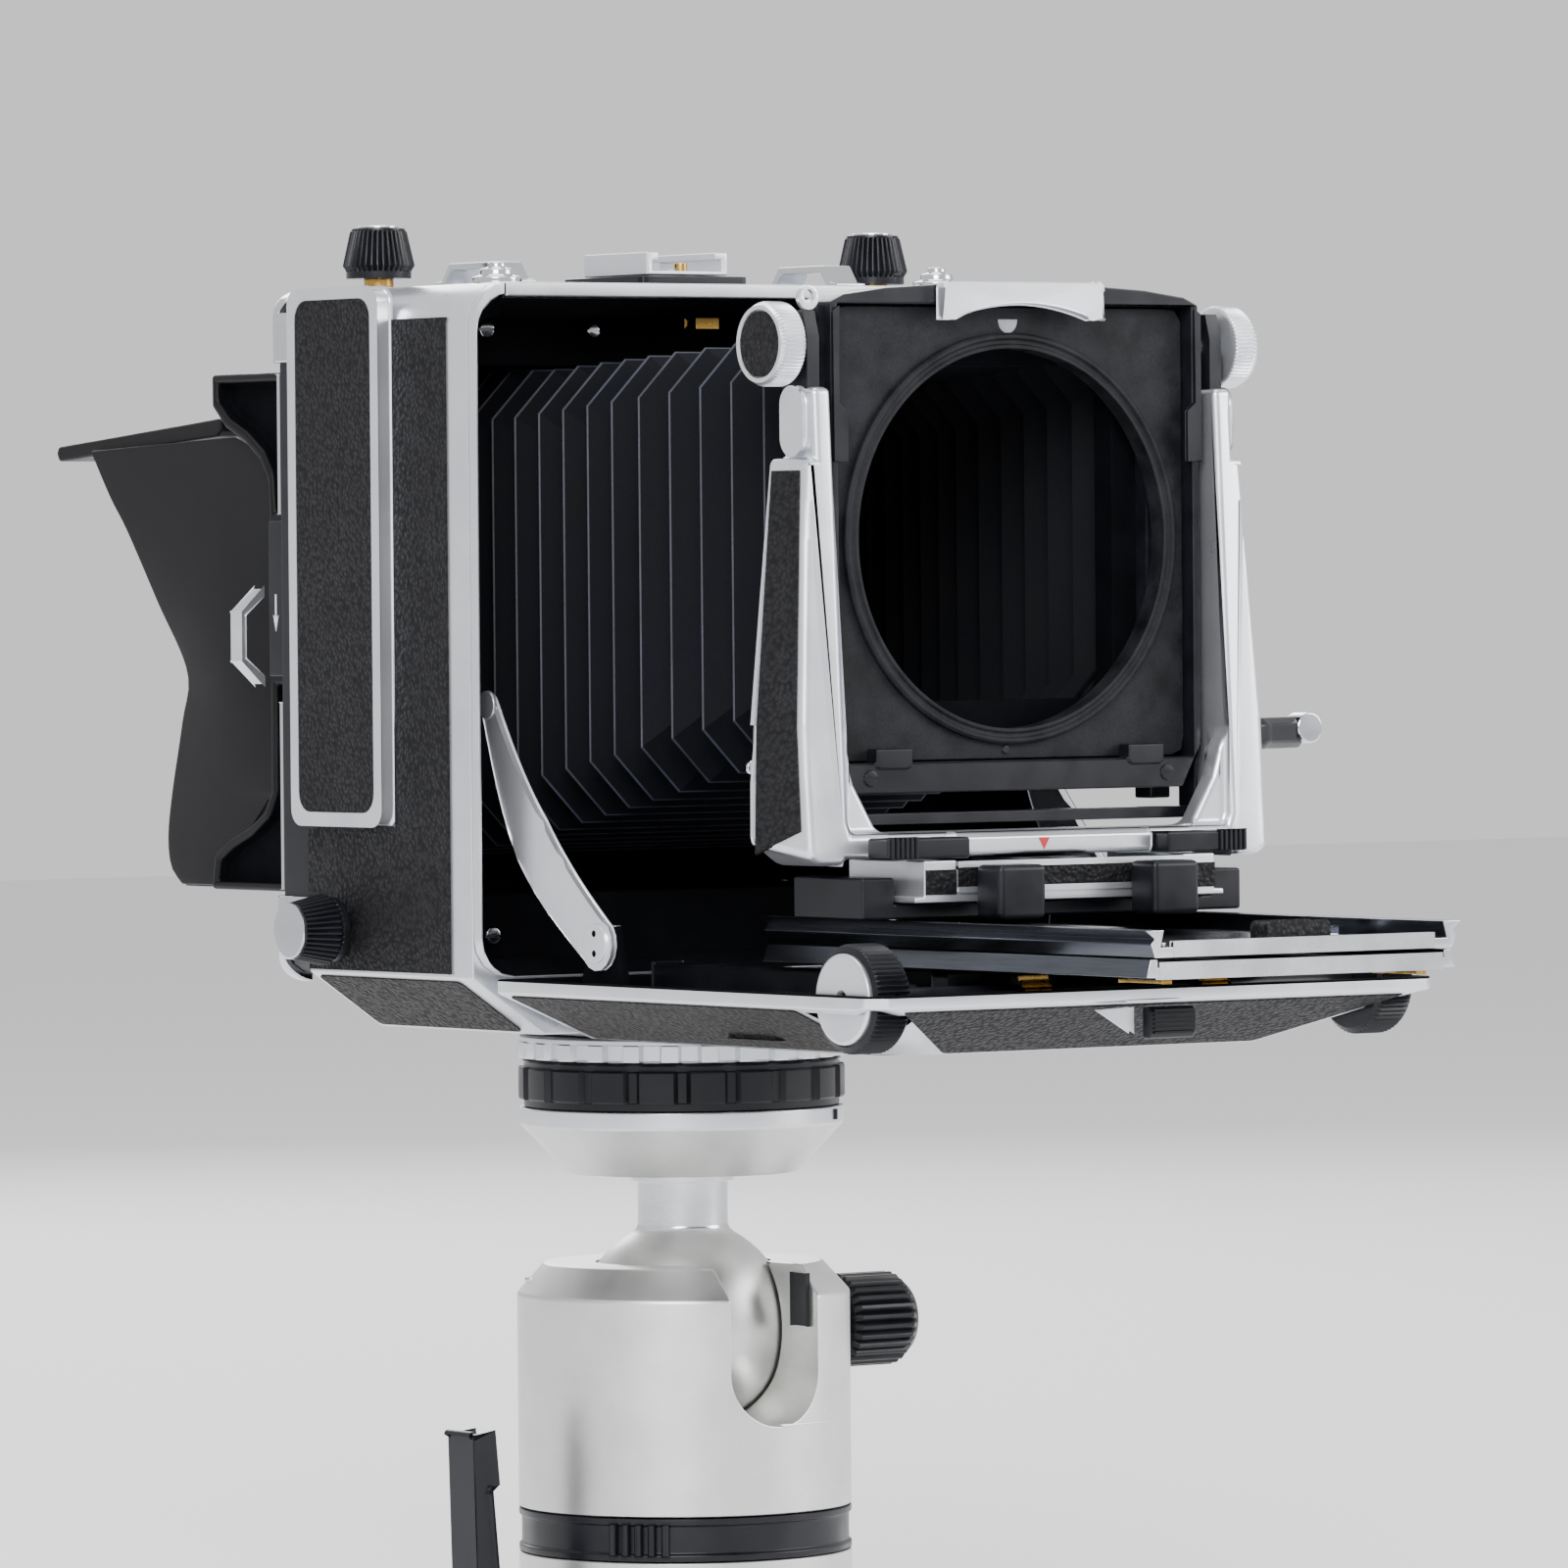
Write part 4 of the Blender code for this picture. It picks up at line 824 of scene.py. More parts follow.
def makeLockAndPull():
    softCopy("back_slide_lock", blackAnodisedAndShade, 0.4)
    low, high = boxOf("back_slide_lock")
    y, z = (low.y + high.y) / 2, low.z + 12
    arrow = [(y - 0.3, z + 7), (y + 0.3, z + 7), (y + 0.3, z + 1.6), (y + 1.1, z + 2.2), (y, z - 1.6),
             (y - 1.1, z + 2.2), (y - 0.3, z + 1.6)]
    addPiece("lockArrow", prism("x", arrow, low.x - 0.12, low.x + 0.1), whiteEnamel, "slide_lock",
             slot="silver")
    low, high = boxOf("hood_pull")
    # the pull is a bent strip, open behind, that stands out on two sloping legs
    strip = [(high.x, high.z), (low.x, high.z - 5.5), (low.x, low.z + 5.5), (high.x, low.z),
             (high.x, low.z + 1.8), (low.x + 1.3, low.z + 6.3), (low.x + 1.3, high.z - 6.3),
             (high.x, high.z - 1.8)]
    pull = softenEdges(prism("y", strip, low.y + 4.8, low.y + 9.0), 0.3)
    addPiece("hoodPull", pull, satinEnamel, "hood_pull", "hood_pull")


# the bellows: one sheet of pleated cloth, split where it passes from one moving body to the next

bellows = {
    # y, half width, lowest and highest z and cut corner of the ridges, at three places along the bellows
    "levels": ((11.5, 42.5, -43.5, 46.5, 9.0), (112.0, 54.0, -65.0, 39.5, 11.0),
               (154.0, 57.0, -72.0, 39.5, 12.0)),
    "depth": 7.0, "cloth": 0.5, "ridgeBand": 0.22, "front": 11.5,
    # the two bodies that each stretch joins, its length and how many half folds it has
    "sections": (("lens_carrier", "rise_slide", 5.5, 1), ("rise_slide", "u_frame", 5.5, 1),
                 ("u_frame", "swing", 5.5, 1), ("swing", "carriage", 5.5, 1),
                 ("carriage", "upper_rail", 36.0, 7), ("upper_rail", "lower_rail", 5.0, 1),
                 ("lower_rail", "bed", 58.0, 14), ("bed", "camera", 15.0, 5), ("camera", "back", 6.5, 2))}


def bellowsOutline(y, inset):
    levels = bellows["levels"]
    pairs = list(zip(levels, levels[1:]))
    (y0, *a), (y1, *b) = next((pair for pair in pairs if y <= pair[1][0]), pairs[-1])
    t = max(0.0, min(1.0, (y - y0) / (y1 - y0)))
    half, low, high, cut = (p + (q - p) * t for p, q in zip(a, b))
    half, low, high, cut = half - inset, low + inset, high - inset, cut - 0.15 * inset
    right = [(half - cut, low), (half, low + cut), (half, high - cut), (half - cut, high)]
    return right + [(-x, z) for x, z in right[::-1]]


def makeBellows():
    y, fold = bellows["front"], 0
    depth, cloth, ridgeBand = bellows["depth"], bellows["cloth"], bellows["ridgeBand"]
    for a, b, length, halves in bellows["sections"]:
        start, rings = y, []
        for k in range(halves + 1):
            at, ridge = start + length * k / halves, (fold + k) % 2 == 1
            if ridge:
                low, high = start - 1e-6, start + length + 1e-6
                shoulders = [s for s in (-ridgeBand, 0.0, ridgeBand) if low <= at + s <= high]
                rings += [(at + s, 0.3 if s else 0.0) for s in shoulders]
            else:
                rings.append((at, depth))
        bm = bmesh.new()
        levels = []
        for at, inset in rings:
            outer, inner = bellowsOutline(at, inset), bellowsOutline(at, inset + cloth)
            levels.append([[bm.verts.new((x, at, z)) for x, z in outline] for outline in (outer, inner)])
        for (low, high), (p, q) in zip(zip(levels, levels[1:]), zip(rings, rings[1:])):
            # painted highlight: the outer face of each narrow band on a fold ridge takes the paler cloth
            onRidgeBand = abs(p[0] - q[0]) < ridgeBand * 1.5
            for surface in (0, 1):
                for i in range(8):
                    j = (i + 1) % 8
                    a0, b0 = low[surface], high[surface]
                    face = bm.faces.new((a0[i], a0[j], b0[j], b0[i]))
                    face.material_index = int(onRidgeBand and surface == 0)
        for end in (levels[0], levels[-1]):
            for i in range(8):
                j = (i + 1) % 8
                bm.faces.new((end[0][i], end[0][j], end[1][j], end[1][i]))
        piece = addPiece(f"bellows_{a}_to_{b}", bm, [bellowsCloth, foldRidgeHighlight], None, "bellows", sharp=20)
        y, fold = start + length, fold + halves
        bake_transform(piece)
    # the frames that the cloth is clamped in, at the lens and at the film
    front = combine(prism("y", rectangle(-43.2, 43.2, -44.2, 47.2, 3), 5.6, 12.2),
                    prism("y", rectangle(-34.5, 34.5, -35.5, 38.5, 6), 4, 14))
    addPiece("bellowsFrontFrame", softenEdges(front, 0.4), flockedBlackAndShade, "lens_carrier",
             slot="black_anodised")
    rear = combine(prism("y", rectangle(-61.6, 61.6, -79.1, 40.1), 153.2, 157.1),
                   prism("y", rectangle(-49.5, 49.5, -65.5, 33.5, 6), 150, 160))
    addPiece("bellowsRearFrame", rear, flockedBlackAndShade, "back", slot="black_anodised")


# the bed, its struts and the focusing drive

bed = {"rimLow": -100.2, "teeth": 60, "pivotHoles": 2.2}


def makeBed():
    low, high = boxOf("bed")
    rimLow, floor = bed["rimLow"], low.z

    def trayFinish(at, normal):
        inside = (normal.z > 0.2 and at.z < high.z - 0.3) or (abs(at.x) < 74.9 and -54.8 < at.y < 83.6
                                                              and floor + 1 < at.z < high.z - 0.05
                                                              and abs(normal.z) < 0.75)
        return int(inside)

    softCopy("bed", [satinEnamel, flockedBlackAndShade], 0.45, trayFinish, clamp=False, angle=28)
    frontTop, frontLow, halfTop, halfLow = low.y + 1.1, low.y + 24, high.x, 52.0
    front = [(-halfTop + 7, frontTop, rimLow), (halfTop - 7, frontTop, rimLow),
             (halfLow - 9.5, frontLow, floor), (-halfLow + 9.5, frontLow, floor)]
    coverPanel("bedFrontLeather", front[::-1], "bed", blackLeather, 0.9, 1.2, 0.35)
    for name, side in sides:
        start, end = -28.0, 84.0
        corners = [(halfTop * side, start, rimLow), (halfTop * side, end, rimLow),
                   (halfLow * side, end, floor), (halfLow * side, start + 4, floor)]
        coverPanel(f"bedSideLeather_back_{name}", corners[::side], "bed", brownedLeather, 1.1, 1.5, 0.35)
    under = [(-51, -23, floor), (51, -23, floor), (51, 84, floor), (-51, 84, floor)]
    coverPanel("bedUnderLeather", under[::-1], "bed", brownedLeather, 1.2, 2.0, 0.35)
    softCopy("bed_catch", blackAnodisedAndShade, 0.5)
    low, high = boxOf("bed_catch")
    ribs = bmesh.new()
    for k in range(6):
        z = low.z + 1.3 + k * 0.95
        rib = prism("x", rectangle(low.y - 0.35, low.y + 0.6, z - 0.22, z + 0.22), low.x + 0.8, high.x - 0.8)
        mergeInto(ribs, rib)
    addPiece("catchRibs", ribs, blackAnodisedAndShade, "bed_catch", slot="black_anodised")
    recess = prism("y", [(-8.5, -101.4), (-8.5, -106.5), (-16.5, -101.8)], -57.3, -55.4)
    addPiece("catchRecess", softenEdges(recess, 0.25), satinEnamel, "bed", slot="silver")
    makeBedFittings()
    for name, side in sides:
        makeStrut(name, side)
        makeWheel(name, side)
    low, high = boxOf("focus_shaft")
    pivot = pointOf("focus_wheel_turn")
    profile = [(0, low.x), (2, low.x), (2, -28), (4.0, -28, True), (4.0, -20, True), (2, -20), (2, 20),
               (4.0, 20, True), (4.0, 28, True), (2, 28), (2, high.x), (0, high.x)]
    addPiece("focusShaft", turned("x", pivot.y, pivot.z, profile, 96, cosineTeeth(12, 1.2), 1.1),
             [blackAnodisedAndShade, turnedBrass], "focus_drive", "focus_shaft",
             lambda at, normal: int(20.5 < abs(at.x) < 27.5))


def makeBedFittings():
    # fixed tracks that the lower rail slides on, and the small blocks and screws in the tray
    for name, side in sides:
        tracks = bmesh.new()
        section = rectangle(*across(side, 29.5, 37.5), -108.5, -94.4)
        for y0, y1 in ((-30, -24), (-12, 82.5)):
            mergeInto(tracks, softenEdges(prism("y", section, y0, y1), 0.4))
        addPiece(f"bedTrack_{name}", tracks, blackAnodisedAndShade, "bed", slot="black_anodised")
        strip = prism("y", rectangle(*across(side, 33.0, 35.5), -94.1, -93.5), -103, -88)
        addPiece(f"railStrip_{name}", softenEdges(strip, 0.12), turnedBrass, "lower_rail", slot="brass")
        block = prism("z", rectangle(*across(side, 44, 60), 2, 22, 2), -108.6, -99.0)
        addPiece(f"bedBlock_{name}", softenEdges(block, 0.6), blackLeather, "bed", slot="leather")
        block = prism("z", rectangle(*across(side, 42, 58), -29, -14, 2), -108.6, -101.5)
        addPiece(f"bedFrontBlock_{name}", softenEdges(block, 0.6), blackLeather, "bed", slot="leather")
        for k, (x, y, z) in enumerate(((52, 12, -99.0), (46.5, -25, -101.5), (46.5, -18, -101.5))):
            addScrew(f"blockScrew{k}_{name}", (x * side, y, z), "z", 1, "bed", 1.8, 0.5)
    softCopy("focus_lock_lever", blackAnodisedAndShade, 0.5)
    low, high = boxOf("focus_lock_lever")
    ribs = bmesh.new()
    for k in range(5):
        x = low.x + 1.8 + 2.0 * k
        rib = prism("z", rectangle(x - 0.45, x + 0.45, low.y + 1.5, low.y + 5.5), high.z - 0.2, high.z + 0.7)
        mergeInto(ribs, softenEdges(rib, 0.15))
    addPiece("focusLockRibs", ribs, blackAnodisedAndShade, "focus_lock", slot="black_anodised")


strut = {"steps": 24, "bulge": 5.8, "lowHalf": 5.7, "midHalf": 6.4, "topHalf": 2.2}


def makeStrut(name, side):
    pivot = pointOf(f"strut_{name}_swing")
    top = Vector((94.0, -36.0))
    start = Vector((pivot.y, pivot.z))
    run = top - start
    aside = Vector((run.y, -run.x)).normalized()
    along = run.normalized()
    near, far = [], []
    steps = strut["steps"]
    for i in range(steps + 1):
        t = i / steps
        middle = start + run * t + aside * strut["bulge"] * math.sin(math.pi * t)
        wide = strut["lowHalf"] + (strut["midHalf"] - strut["lowHalf"]) * min(1.0, 3 * t)
        half = wide + (strut["topHalf"] - wide) * max(0.0, 2 * t - 1)
        near.append(middle + aside * half)
        far.append(middle - aside * half)
    turnTop = [top + (aside * math.cos(a) + along * math.sin(a)) * strut["topHalf"]
               for a in (math.pi * k / 8 for k in range(1, 8))]
    turnLow = [start + (-aside * math.cos(a) - along * math.sin(a)) * strut["lowHalf"]
               for a in (math.pi * k / 8 for k in range(1, 8))]
    outline = [tuple(p) for p in near + turnTop + far[::-1] + turnLow]
    bar = prism("x", outline, *across(side, 72.5, 73.9))
    addPiece(f"strutBar_{name}", softenEdges(bar, 0.35, 40), satinEnamel, f"strut_{name}", f"strut_{name}")
    addScrew(f"strutPivot_{name}", (side * 73.7, start.x, start.y), "x", side, f"strut_{name}", 4.4, 0.8,
             satinEnamel, False)
    # painted shade: two black discs on the face of the pivot stand in for the shade inside its two holes
    for part, shift in (("upper", bed["pivotHoles"]), ("lower", -bed["pivotHoles"])):
        hole = [(0, side * 74.2), (0.75, side * 74.2), (0.75, side * 74.53), (0, side * 74.53)]
        hole = turned("x", start.x, start.y + shift, hole, 24)
        addPiece(f"strutPivotHoleShade_{part}_{name}", hole, flockedBlackAndShade, f"strut_{name}", slot="black_anodised")
    addScrew(f"strutPin_{name}", (side * 73.7, top.x, top.y), "x", side, f"strut_{name}", 3.2, 0.6,
             satinEnamel, False)


def makeWheel(name, side):
    pivot = pointOf("focus_wheel_turn")
    low, high = boxOf(f"focus_wheel_{name}")
    near, far, r = 63.4, 74.0, (high.z - low.z) / 2
    rim = [(0, near), *eased([(9.6, near), (10.4, near)], 0.2), (11.2, near + 0.7), (r, near + 1.4, True),
           (r, far - 2.2, True), (r - 0.5, far - 1.5), (10.2, far - 1.0), (10.2, far - 1.4), (0, far - 1.4)]
    body = turned("x", pivot.y, pivot.z, [(a, h * side, *k) for a, h, *k in rim], bed["teeth"] * 6,
                  cosineTeeth(bed["teeth"]), 0.7)
    addPiece(f"focusWheel_{name}", body, blackAnodisedAndShade, "focus_drive", f"focus_wheel_{name}",
             slot="black_anodised")
    face = eased([(1.5, far - 1.5), (9.8, far - 1.5), (9.8, far - 0.3), (9.2, far), (1.9, far),
                  (1.5, far - 0.4)], 0.2)
    addPiece(f"focusWheelFace_{name}", turned("x", pivot.y, pivot.z, [(a, h * side) for a, h, *k in face]),
             satinEnamel, "focus_drive", slot="silver")


# the rails

def makeRails():
    def railFinish(at, normal):
        return 0 if abs(normal.y) > 0.8 else 1

    softCopy("lower_rail", [drawnAluminium, dyedAluminium], 0.18, railFinish, clamp=False, angle=35)
    softCopy("upper_rail", [drawnAluminium, dyedAluminium], 0.18, railFinish, clamp=False, angle=35)
    low, high = boxOf("upper_rail")
    stop = prism("y", rectangle(-8, 8, low.z + 2.0, high.z + 0.6, 1.0), low.y + 2, low.y + 8)
    addPiece("railStop", softenEdges(stop, 0.5), blackLeather, "upper_rail", slot="leather")
    for node, half, z0, z1 in (("upper_rail", 35.0, -88.3, -85.2), ("lower_rail", 38.0, -93.0, -89.6)):
        # the solid web shows as a bright cut end
        front = boxOf(node)[0].y
        web = prism("y", rectangle(-half, half, z0, z1), front - 0.05, front + 1.2)
        addPiece(f"railEnd_{node}", softenEdges(web, 0.15), drawnAluminium, node, slot="rail")
    for name, side in sides:
        for k, y in enumerate((low.y + 12, low.y + 52)):
            addScrew(f"railScrew{k}_{name}", (30 * side, y, low.z + 2.2), "z", 1, "upper_rail", 1.7, 0.5)
        clip = rectangle(*across(side, 26, 34), low.y + 30, low.y + 36, 1.5)
        clip = prism("z", clip, low.z + 2.3, low.z + 4.2)
        addPiece(f"railClip_{name}", softenEdges(clip, 0.3), chromePlate, "upper_rail", slot="chrome")


# the front standard

standard = {"knobTeeth": 64, "shoulder": 17.6, "rackPitch": 1.9, "rackReach": 29,
            # z, outer edge at the back, how far the front edge stands in from it, and the front's y
            "arm": ((24.0, 60.9, 2.0, -9.0), (-40.0, 66.4, 3.8, -12.0), (-74.0, 67.4, 4.8, -14.0))}


def makeStandard():
    softCopy("carriage", blackAnodisedAndShade, 0.6)
    softCopy("standard_base", satinEnamel, 0.35)
    low, high = boxOf("standard_base")
    for name, side in sides:
        fill = rectangle(*across(side, 31.4, 39.2), low.z + 2.0, high.z - 2.3)
        fill = prism("y", fill, low.y - 0.2, low.y + 1.5)
        addPiece(f"baseFill_{name}", softenEdges(fill, 0.3), blackLeather, "carriage", slot="leather")
        softCopy(f"pinch_lever_{name}", blackAnodisedAndShade, 1.3, segments=3)
        softCopy(f"clamp_lever_{name}", blackAnodisedAndShade, 0.6)
        leverLow, leverHigh = boxOf(f"clamp_lever_{name}")
        ribs = bmesh.new()
        for k in range(6):
            x = side * (41.5 + 1.3 * k)
            rib = rectangle(x - 0.4, x + 0.4, leverLow.y - 0.5, leverLow.y + 1)
            mergeInto(ribs, softenEdges(prism("z", rib, leverLow.z + 0.2, leverHigh.z + 0.25), 0.15))
        addPiece(f"clampRibs_{name}", ribs, blackAnodisedAndShade, f"clamp_{name}", slot="black_anodised")
    bars = bmesh.new()
    for z in (low.z + 2.2, high.z - 1.4):
        bar = prism("y", rectangle(-30.6, 30.6, z, z + 0.9), low.y - 0.5, low.y + 1.4)
        mergeInto(bars, softenEdges(bar, 0.2))
    addPiece("baseBars", bars, satinEnamel, "carriage", slot="silver")
    inlay = prism("y", rectangle(-30.6, 30.6, low.z + 3.2, high.z - 1.5), low.y - 0.2, low.y + 1.2)
    addPiece("baseInlay", inlay, blackLeather, "carriage", slot="leather")
    softCopy("swing_plate", blackAnodisedAndShade, 0.25)
    makeFrame()
    makeCarrier()


def armSection(z):
    # outer edge of an arm at the back and at the front, where the leather-covered face slants inwards
    levels = standard["arm"]
    for (z0, *a), (z1, *b) in zip(levels, levels[1:]):
        if z >= z1 or z1 == levels[-1][0]:
            t = (z - z0) / (z1 - z0)
            outer, slant, front = (p + (q - p) * t for p, q in zip(a, b))
            return Vector((outer, 2.5)), Vector((outer - slant, front))


def slimArms(bm):
    for name, side in sides:
        levels = []
        for z in (24, 16, 8, 0, -10, -20, -30, -40, -52, -63, -74):
            rear, front = armSection(z)
            beyond = (front - rear).normalized() * 0.6
            outline = [rear - beyond, front + beyond, front + Vector((8, -1)), rear + Vector((8, 2))]
            levels.append((z, [(side * x, y) for x, y in outline]))
        bm = combine(bm, loft("z", levels))
        bm = combine(bm, prism("z", rectangle(*across(side, 57.2, 70), -14, 6), standard["shoulder"], 40))
    return bm


def makeFrame():
    softCopy("u_frame", satinEnamel, 1.5, clamp=False, angle=32, segments=4, change=slimArms)
    for name, side in sides:
        # leathercloth let into the slanting face of each arm, inside a bright border
        skin = bmesh.new()
        loops = []
        for lift in (-0.3, 0.4):
            back, ahead = [], []
            for z in (15, 8, 0, -10, -20, -30, -40, -52, -63):
                fall = {-52: 2.5, -63: 5}.get(z, 0)
                rear, front = armSection(z)
                along = (front - rear).normalized()
                out = Vector((-along.y, along.x)) * lift
                near, far = rear + along * 1.9 + out, front - along * 1.9 + out
                back.append(skin.verts.new((side * near.x, near.y, z - fall)))
                ahead.append(skin.verts.new((side * far.x, far.y, z)))
            loops.append(back + ahead[::-1])
            for k in range(len(back) - 1):
                skin.faces.new((back[k], back[k + 1], ahead[k + 1], ahead[k]))
        for i in range(len(loops[0])):
            j = (i + 1) % len(loops[0])
            skin.faces.new((loops[0][i], loops[0][j], loops[1][j], loops[1][i]))
        addPiece(f"armLeather_{name}", softenEdges(skin, 0.15, 50), blackLeather, "u_frame", slot="leather",
                 sharp=50)
        boss = prism("x", rectangle(-6.4, 0.2, 19.0, 32.4, 3.2, 8), *across(side, 56.9, 58.9))
        addPiece(f"armBoss_{name}", softenEdges(boss, 1.2, segments=4), satinEnamel, "u_frame", slot="silver")
        makeStandardKnob(name, side)
    addScrew("armScrew", (-65.9, 2.3, -49.3), "y", 1, "u_frame", 1.7, 0.5)
    bar = prism("x", [(-18.2, -68.6), (-18.6, -67.8), (-18.6, -65.2), (-17.2, -64.0), (-14.6, -64.0),
                      (-14.6, -68.6)], -26.4, 26.4)
    addPiece("indexBar", softenEdges(bar, 0.3), satinEnamel, "u_frame", slot="silver")
    mark = prism("y", [(-4.6, -65.3), (-1.6, -65.3), (-3.1, -67.9)], -18.72, -18.4)
    addPiece("indexMark", mark, redEnamel, "u_frame")
    softCopy("rise_lever", blackAnodisedAndShade, 0.9, segments=3)
    low, high = boxOf("rise_lever")
    tip = turned("y", high.x - 0.2, (low.z + high.z) / 2 + 1.0,
                 eased([(0, 9.4), (1.2, 9.4), (1.3, 8.6), (3.5, 8.6), (3.5, 3.2), (0, 3.2)], 0.5), 48)
    addPiece("riseLeverTip", tip, chromePlate, "rise_lever", slot="chrome")


def makeStandardKnob(name, side):
    node = f"standard_knob_{name}"
    low, high = boxOf(node)
    centre = (low + high) / 2
    near, far = (low.x, high.x) if side > 0 else (-high.x, -low.x)
    r = (high.z - low.z) / 2
    rim = eased([(0, near), (3, near), (3, near + 6)], 0.2)
    rim += [(8.2, near + 6.1), (r - 0.3, near + 6.5), (r, near + 6.9, True), (r, far - 1.4, True),
            (r - 0.4, far - 0.8), (8.4, far), (7.5, far), (7.3, far - 0.5), (0, far - 0.5)]
    knob = turned("x", centre.y, centre.z, [(a, h * side, *k) for a, h, *k in rim], standard["knobTeeth"] * 6,
                  cosineTeeth(standard["knobTeeth"]), 0.5)
    addPiece(f"standardKnob_{name}", knob, satinEnamel, f"knob_{name}", node, sharp=40)
    disc = eased([(0, far - 0.6), (7.2, far - 0.6), (7.2, far - 0.1), (0, far - 0.05)], 0.15)
    disc = turned("x", centre.y, centre.z, [(a, h * side) for a, h in disc], 64)
    addPiece(f"standardKnobLeather_{name}", disc, blackLeather, f"knob_{name}", slot="leather")
    post = combine(prism("x", [(-6.0, 31.5), (3.2, 31.5), (3.2, 44), (1.6, 49.6), (-4.4, 49.6), (-6.0, 44)],
                         *across(side, 53.3, 56.6)), prism("x", circle(centre.y, centre.z, 3.3, 32),
                                                           *across(side, 50, 60)))
    addPiece(f"knobPost_{name}", softenEdges(post, 0.4, 40), blackAnodisedAndShade, "u_frame",
             slot="black_anodised")
    if side < 0:
        eye = combine(prism("y", circle(-54.9, 52.4, 2.7, 32), -4.6, -3.2),
                      prism("y", circle(-54.9, 52.8, 1.3, 24), -6, 0))
        addPiece("postEye", softenEdges(eye, 0.25, 40), satinEnamel, "u_frame", slot="silver")


def pierced(outline, radius, front, rear, count=144):
    # a plate around a round hole: both of its edges have a point at every turn
    bm = bmesh.new()
    rings = []
    for i in range(count):
        turn = 2 * math.pi * i / count
        way = Vector((math.cos(turn), math.sin(turn)))
        reach = 0.0
        for a, b in zip(outline, outline[1:] + outline[:1]):
            a, edge = Vector(a), Vector(b) - Vector(a)
            cross = way.cross(edge)
            if abs(cross) > 1e-9 and -1e-6 <= a.cross(way) / cross <= 1 + 1e-6:
                reach = max(reach, a.cross(edge) / cross)
        rings.append([bm.verts.new((r * way.x, y, r * way.y))
                      for r, y in ((radius, front), (reach, front), (reach, rear), (radius, rear))])
    for low, high in zip(rings, rings[1:] + rings[:1]):
        for k in range(4):
            j = (k + 1) % 4
            bm.faces.new((low[k], low[j], high[j], high[k]))
    return bm


carrier = {"ringR": 45.2, "holeR": 41.7}


def makeCarrier():
    softCopy("rise_slide", blackAnodisedAndShade, 0.3)

    def lowLugs(bm):
        # the two lugs that hold the board's lower edge are low
        return combine(bm, prism("y", rectangle(-47.8, 47.8, -45.6, -42.5), -8, -2.7))

    softCopy("lens_carrier", blackAnodisedAndShade, 0.4, clamp=False, angle=38, change=lowLugs)
    for name, side in sides:
        guide = prism("y", rectangle(*across(side, 50.4, 51.4), 17, 50.5), -3.4, 3.2)
        addPiece(f"guideTop_{name}", softenEdges(guide, 0.25), blackAnodisedAndShade, "rise_slide",
                 slot="black_anodised")
        cheek = prism("y", [(side * x, z) for x, z in ((46.5, 17), (50.1, 17), (50.1, 49.5), (48.6, 50.5),
                                                      (48.6, 30), (46.5, 28))], -6.9, -5.9)
        addPiece(f"carrierStep_{name}", softenEdges(cheek, 0.2), blackAnodisedAndShade, "lens_carrier",
                 slot="black_anodised")
        teeth = bmesh.new()
        pitch = standard["rackPitch"]
        for k in range(int(2 * standard["rackReach"] / pitch)):
            z = k * pitch - standard["rackReach"]
            mergeInto(teeth, prism("y", [(side * 49.7, z), (side * 50.4, z + 0.45), (side * 50.4, z + 0.85),
                                         (side * 49.7, z + 1.3)], 8.4, 10.6))
        addPiece(f"rackTeeth_{name}", teeth, drawnAluminium, "lens_carrier", slot="rail")
    low, high = boxOf("lens_board")
    front, rearFace, hole, ringR = -2.5, high.y, carrier["holeR"], carrier["ringR"]
    board = pierced(rectangle(low.x, high.x, low.z, high.z, 3, 6), 43.6, front, rearFace)
    addPiece("lensBoard", softenEdges(board, 0.3, 40), sandyLacquer, "lens_carrier", "lens_board")
    addScrew("boardDimple", (-1.5, front, -46.3), "y", -1, "lens_carrier", 1.0, 0.25, blackAnodisedAndShade)
    ring = eased([(43.7, rearFace), (43.7, front), (ringR, front), (ringR, front - 1.2), (44.6, front - 1.7),
                  (44.0, front - 1.7), (43.6, front - 1.0), (42.8, front - 1.0), (42.5, front - 1.5),
                  (hole, front - 1.5), (hole, rearFace - 0.4), (hole + 0.4, rearFace)], 0.22)
    addPiece("lensBoardRing", turned("y", 0, 0, ring, 160), sandyLacquer, "lens_carrier", slot="matte_black")
    mark = prism("y", [(2.6 * math.cos(t), 48.1 + 3.0 * math.sin(t)) for t in
                       (math.pi + math.pi * k / 16 for k in range(17))], front - 0.12, front + 0.2)
    addPiece("boardMark", mark, pewterPaint, "lens_carrier", slot="silver")
    for k, x in enumerate((40.5, -40.5)):
        addScrew(f"carrierScrew{k}", (x, -5.9, -52.0), "y", -1, "lens_carrier", 1.8, 0.45, blackAnodisedAndShade)
    low, high = boxOf("board_lock")
    half = high.x
    lower = [(half * 0.86 * u / 8, 51.5 - 3.3 * (u / 8) ** 2) for u in range(-8, 9)]
    lock = [(-half, 48.2), *lower, (half, 48.2), (half, high.z - 1.2),
            *arc(half - 1.6, high.z - 1.6, 1.6, 0, 90, 5),
            *arc(-half + 1.6, high.z - 1.6, 1.6, 90, 180, 5)]
    addPiece("boardLock", softenEdges(prism("y", lock, low.y, high.y), 0.45, 35), satinEnamel, "board_lock",
             "board_lock")


makeHead()
print("ball head made")
makeBody()
print("body made")
makeBack()
print("back and hood made")
makeBellows()
print("bellows made")
makeBed()
print("bed made")
makeRails()
print("rails made")
makeStandard()
print("front standard made")

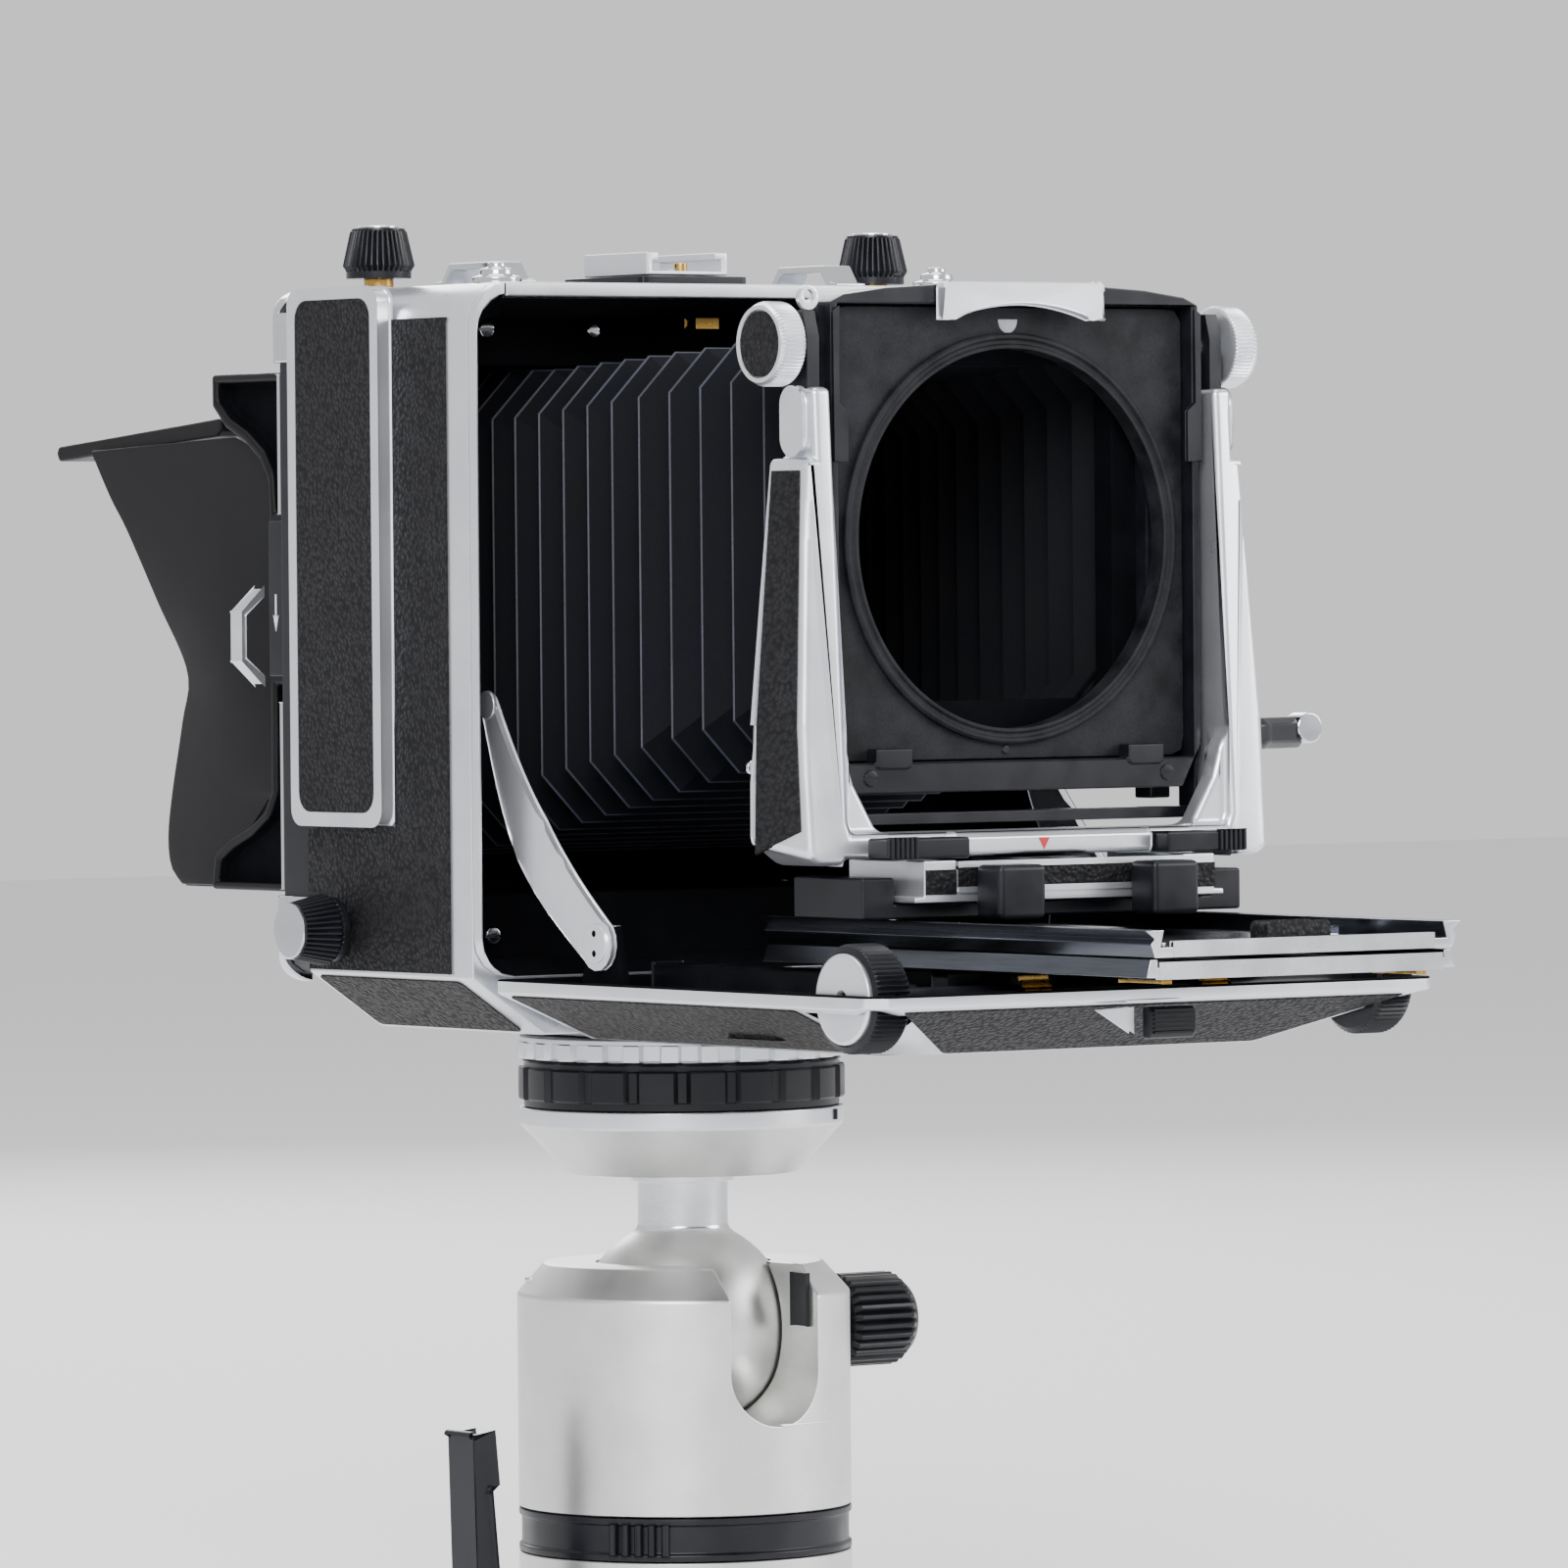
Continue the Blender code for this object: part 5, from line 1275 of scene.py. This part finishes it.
# the camera screw hides inside the head: only its material changes
screwMaterials = frame["nodes"]["camera_screw"].data.materials
screwMaterials.clear()
screwMaterials.append(chromePlate)


# the room: a pale floor, soft lamps and the camera

studio = {"floor": 6.0, "world": "#F1F1F3", "strength": 1.0,
          "lamps": (("keyLamp", (-1.5, -1.7, 1.1), 1.3, 66), ("fillLamp", (1.8, -1.4, 0.8), 1.4, 36),
                    ("topLamp", (0.1, 0.3, 1.9), 1.4, 28), ("backLamp", (0.9, 1.9, 0.9), 1.2, 20))}


def makeStudio():
    floorMesh = bpy.data.meshes.new("floor")
    reach = studio["floor"]
    corners = [(-reach, -reach, 0), (reach, -reach, 0), (reach, reach, 0), (-reach, reach, 0)]
    floorMesh.from_pydata(corners, [], [(0, 1, 2, 3)])
    floor = bpy.data.objects.new("floor", floorMesh)
    bpy.context.scene.collection.objects.link(floor)
    floor.location.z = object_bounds()[0].z - 0.0005
    floorMesh.materials.append(newMaterial("palePaper", "#EDEDEF", 0.9))
    world = bpy.data.worlds.new("paleRoom")
    world.use_nodes = True
    sky = world.node_tree.nodes["Background"]
    sky.inputs["Color"].default_value = hexToLinear(studio["world"])
    sky.inputs["Strength"].default_value = studio["strength"]
    bpy.context.scene.world = world
    target = lensCentre + Vector((0, 80, -60)) * mm
    for name, place, size, power in studio["lamps"]:
        light = bpy.data.lights.new(name, "AREA")
        light.shape, light.size, light.energy = "DISK", size, power
        lamp = bpy.data.objects.new(name, light)
        bpy.context.scene.collection.objects.link(lamp)
        lamp.location = target + Vector(place)
        lamp.rotation_euler = (-Vector(place)).to_track_quat("-Z", "Y").to_euler()


cameraView = {"turn": 35.3, "pitch": 1.15, "roll": 0.5, "place": (-1.3476, -1.9451, 0.2659), "lens": 236.25}


def makeCamera():
    turn, pitch, roll = (math.radians(cameraView[k]) for k in ("turn", "pitch", "roll"))
    forward = Vector((math.sin(turn) * math.cos(pitch), math.cos(turn) * math.cos(pitch), -math.sin(pitch)))
    right = forward.cross(Vector((0, 0, 1))).normalized()
    up = right.cross(forward)
    level = right * math.cos(roll) - up * math.sin(roll)
    above = up * math.cos(roll) + right * math.sin(roll)
    turnMatrix = Matrix((level, above, -forward)).transposed()
    lens = bpy.data.cameras.new("camera")
    lens.lens, lens.sensor_width = cameraView["lens"], 36.0
    lens.clip_start, lens.clip_end = 0.1, 50.0
    viewer = bpy.data.objects.new("camera", lens)
    viewer.matrix_world = Matrix.Translation(cameraView["place"]) @ turnMatrix.to_4x4()
    bpy.context.scene.collection.objects.link(viewer)
    bpy.context.scene.camera = viewer


makeStudio()
makeCamera()
print("studio ready")
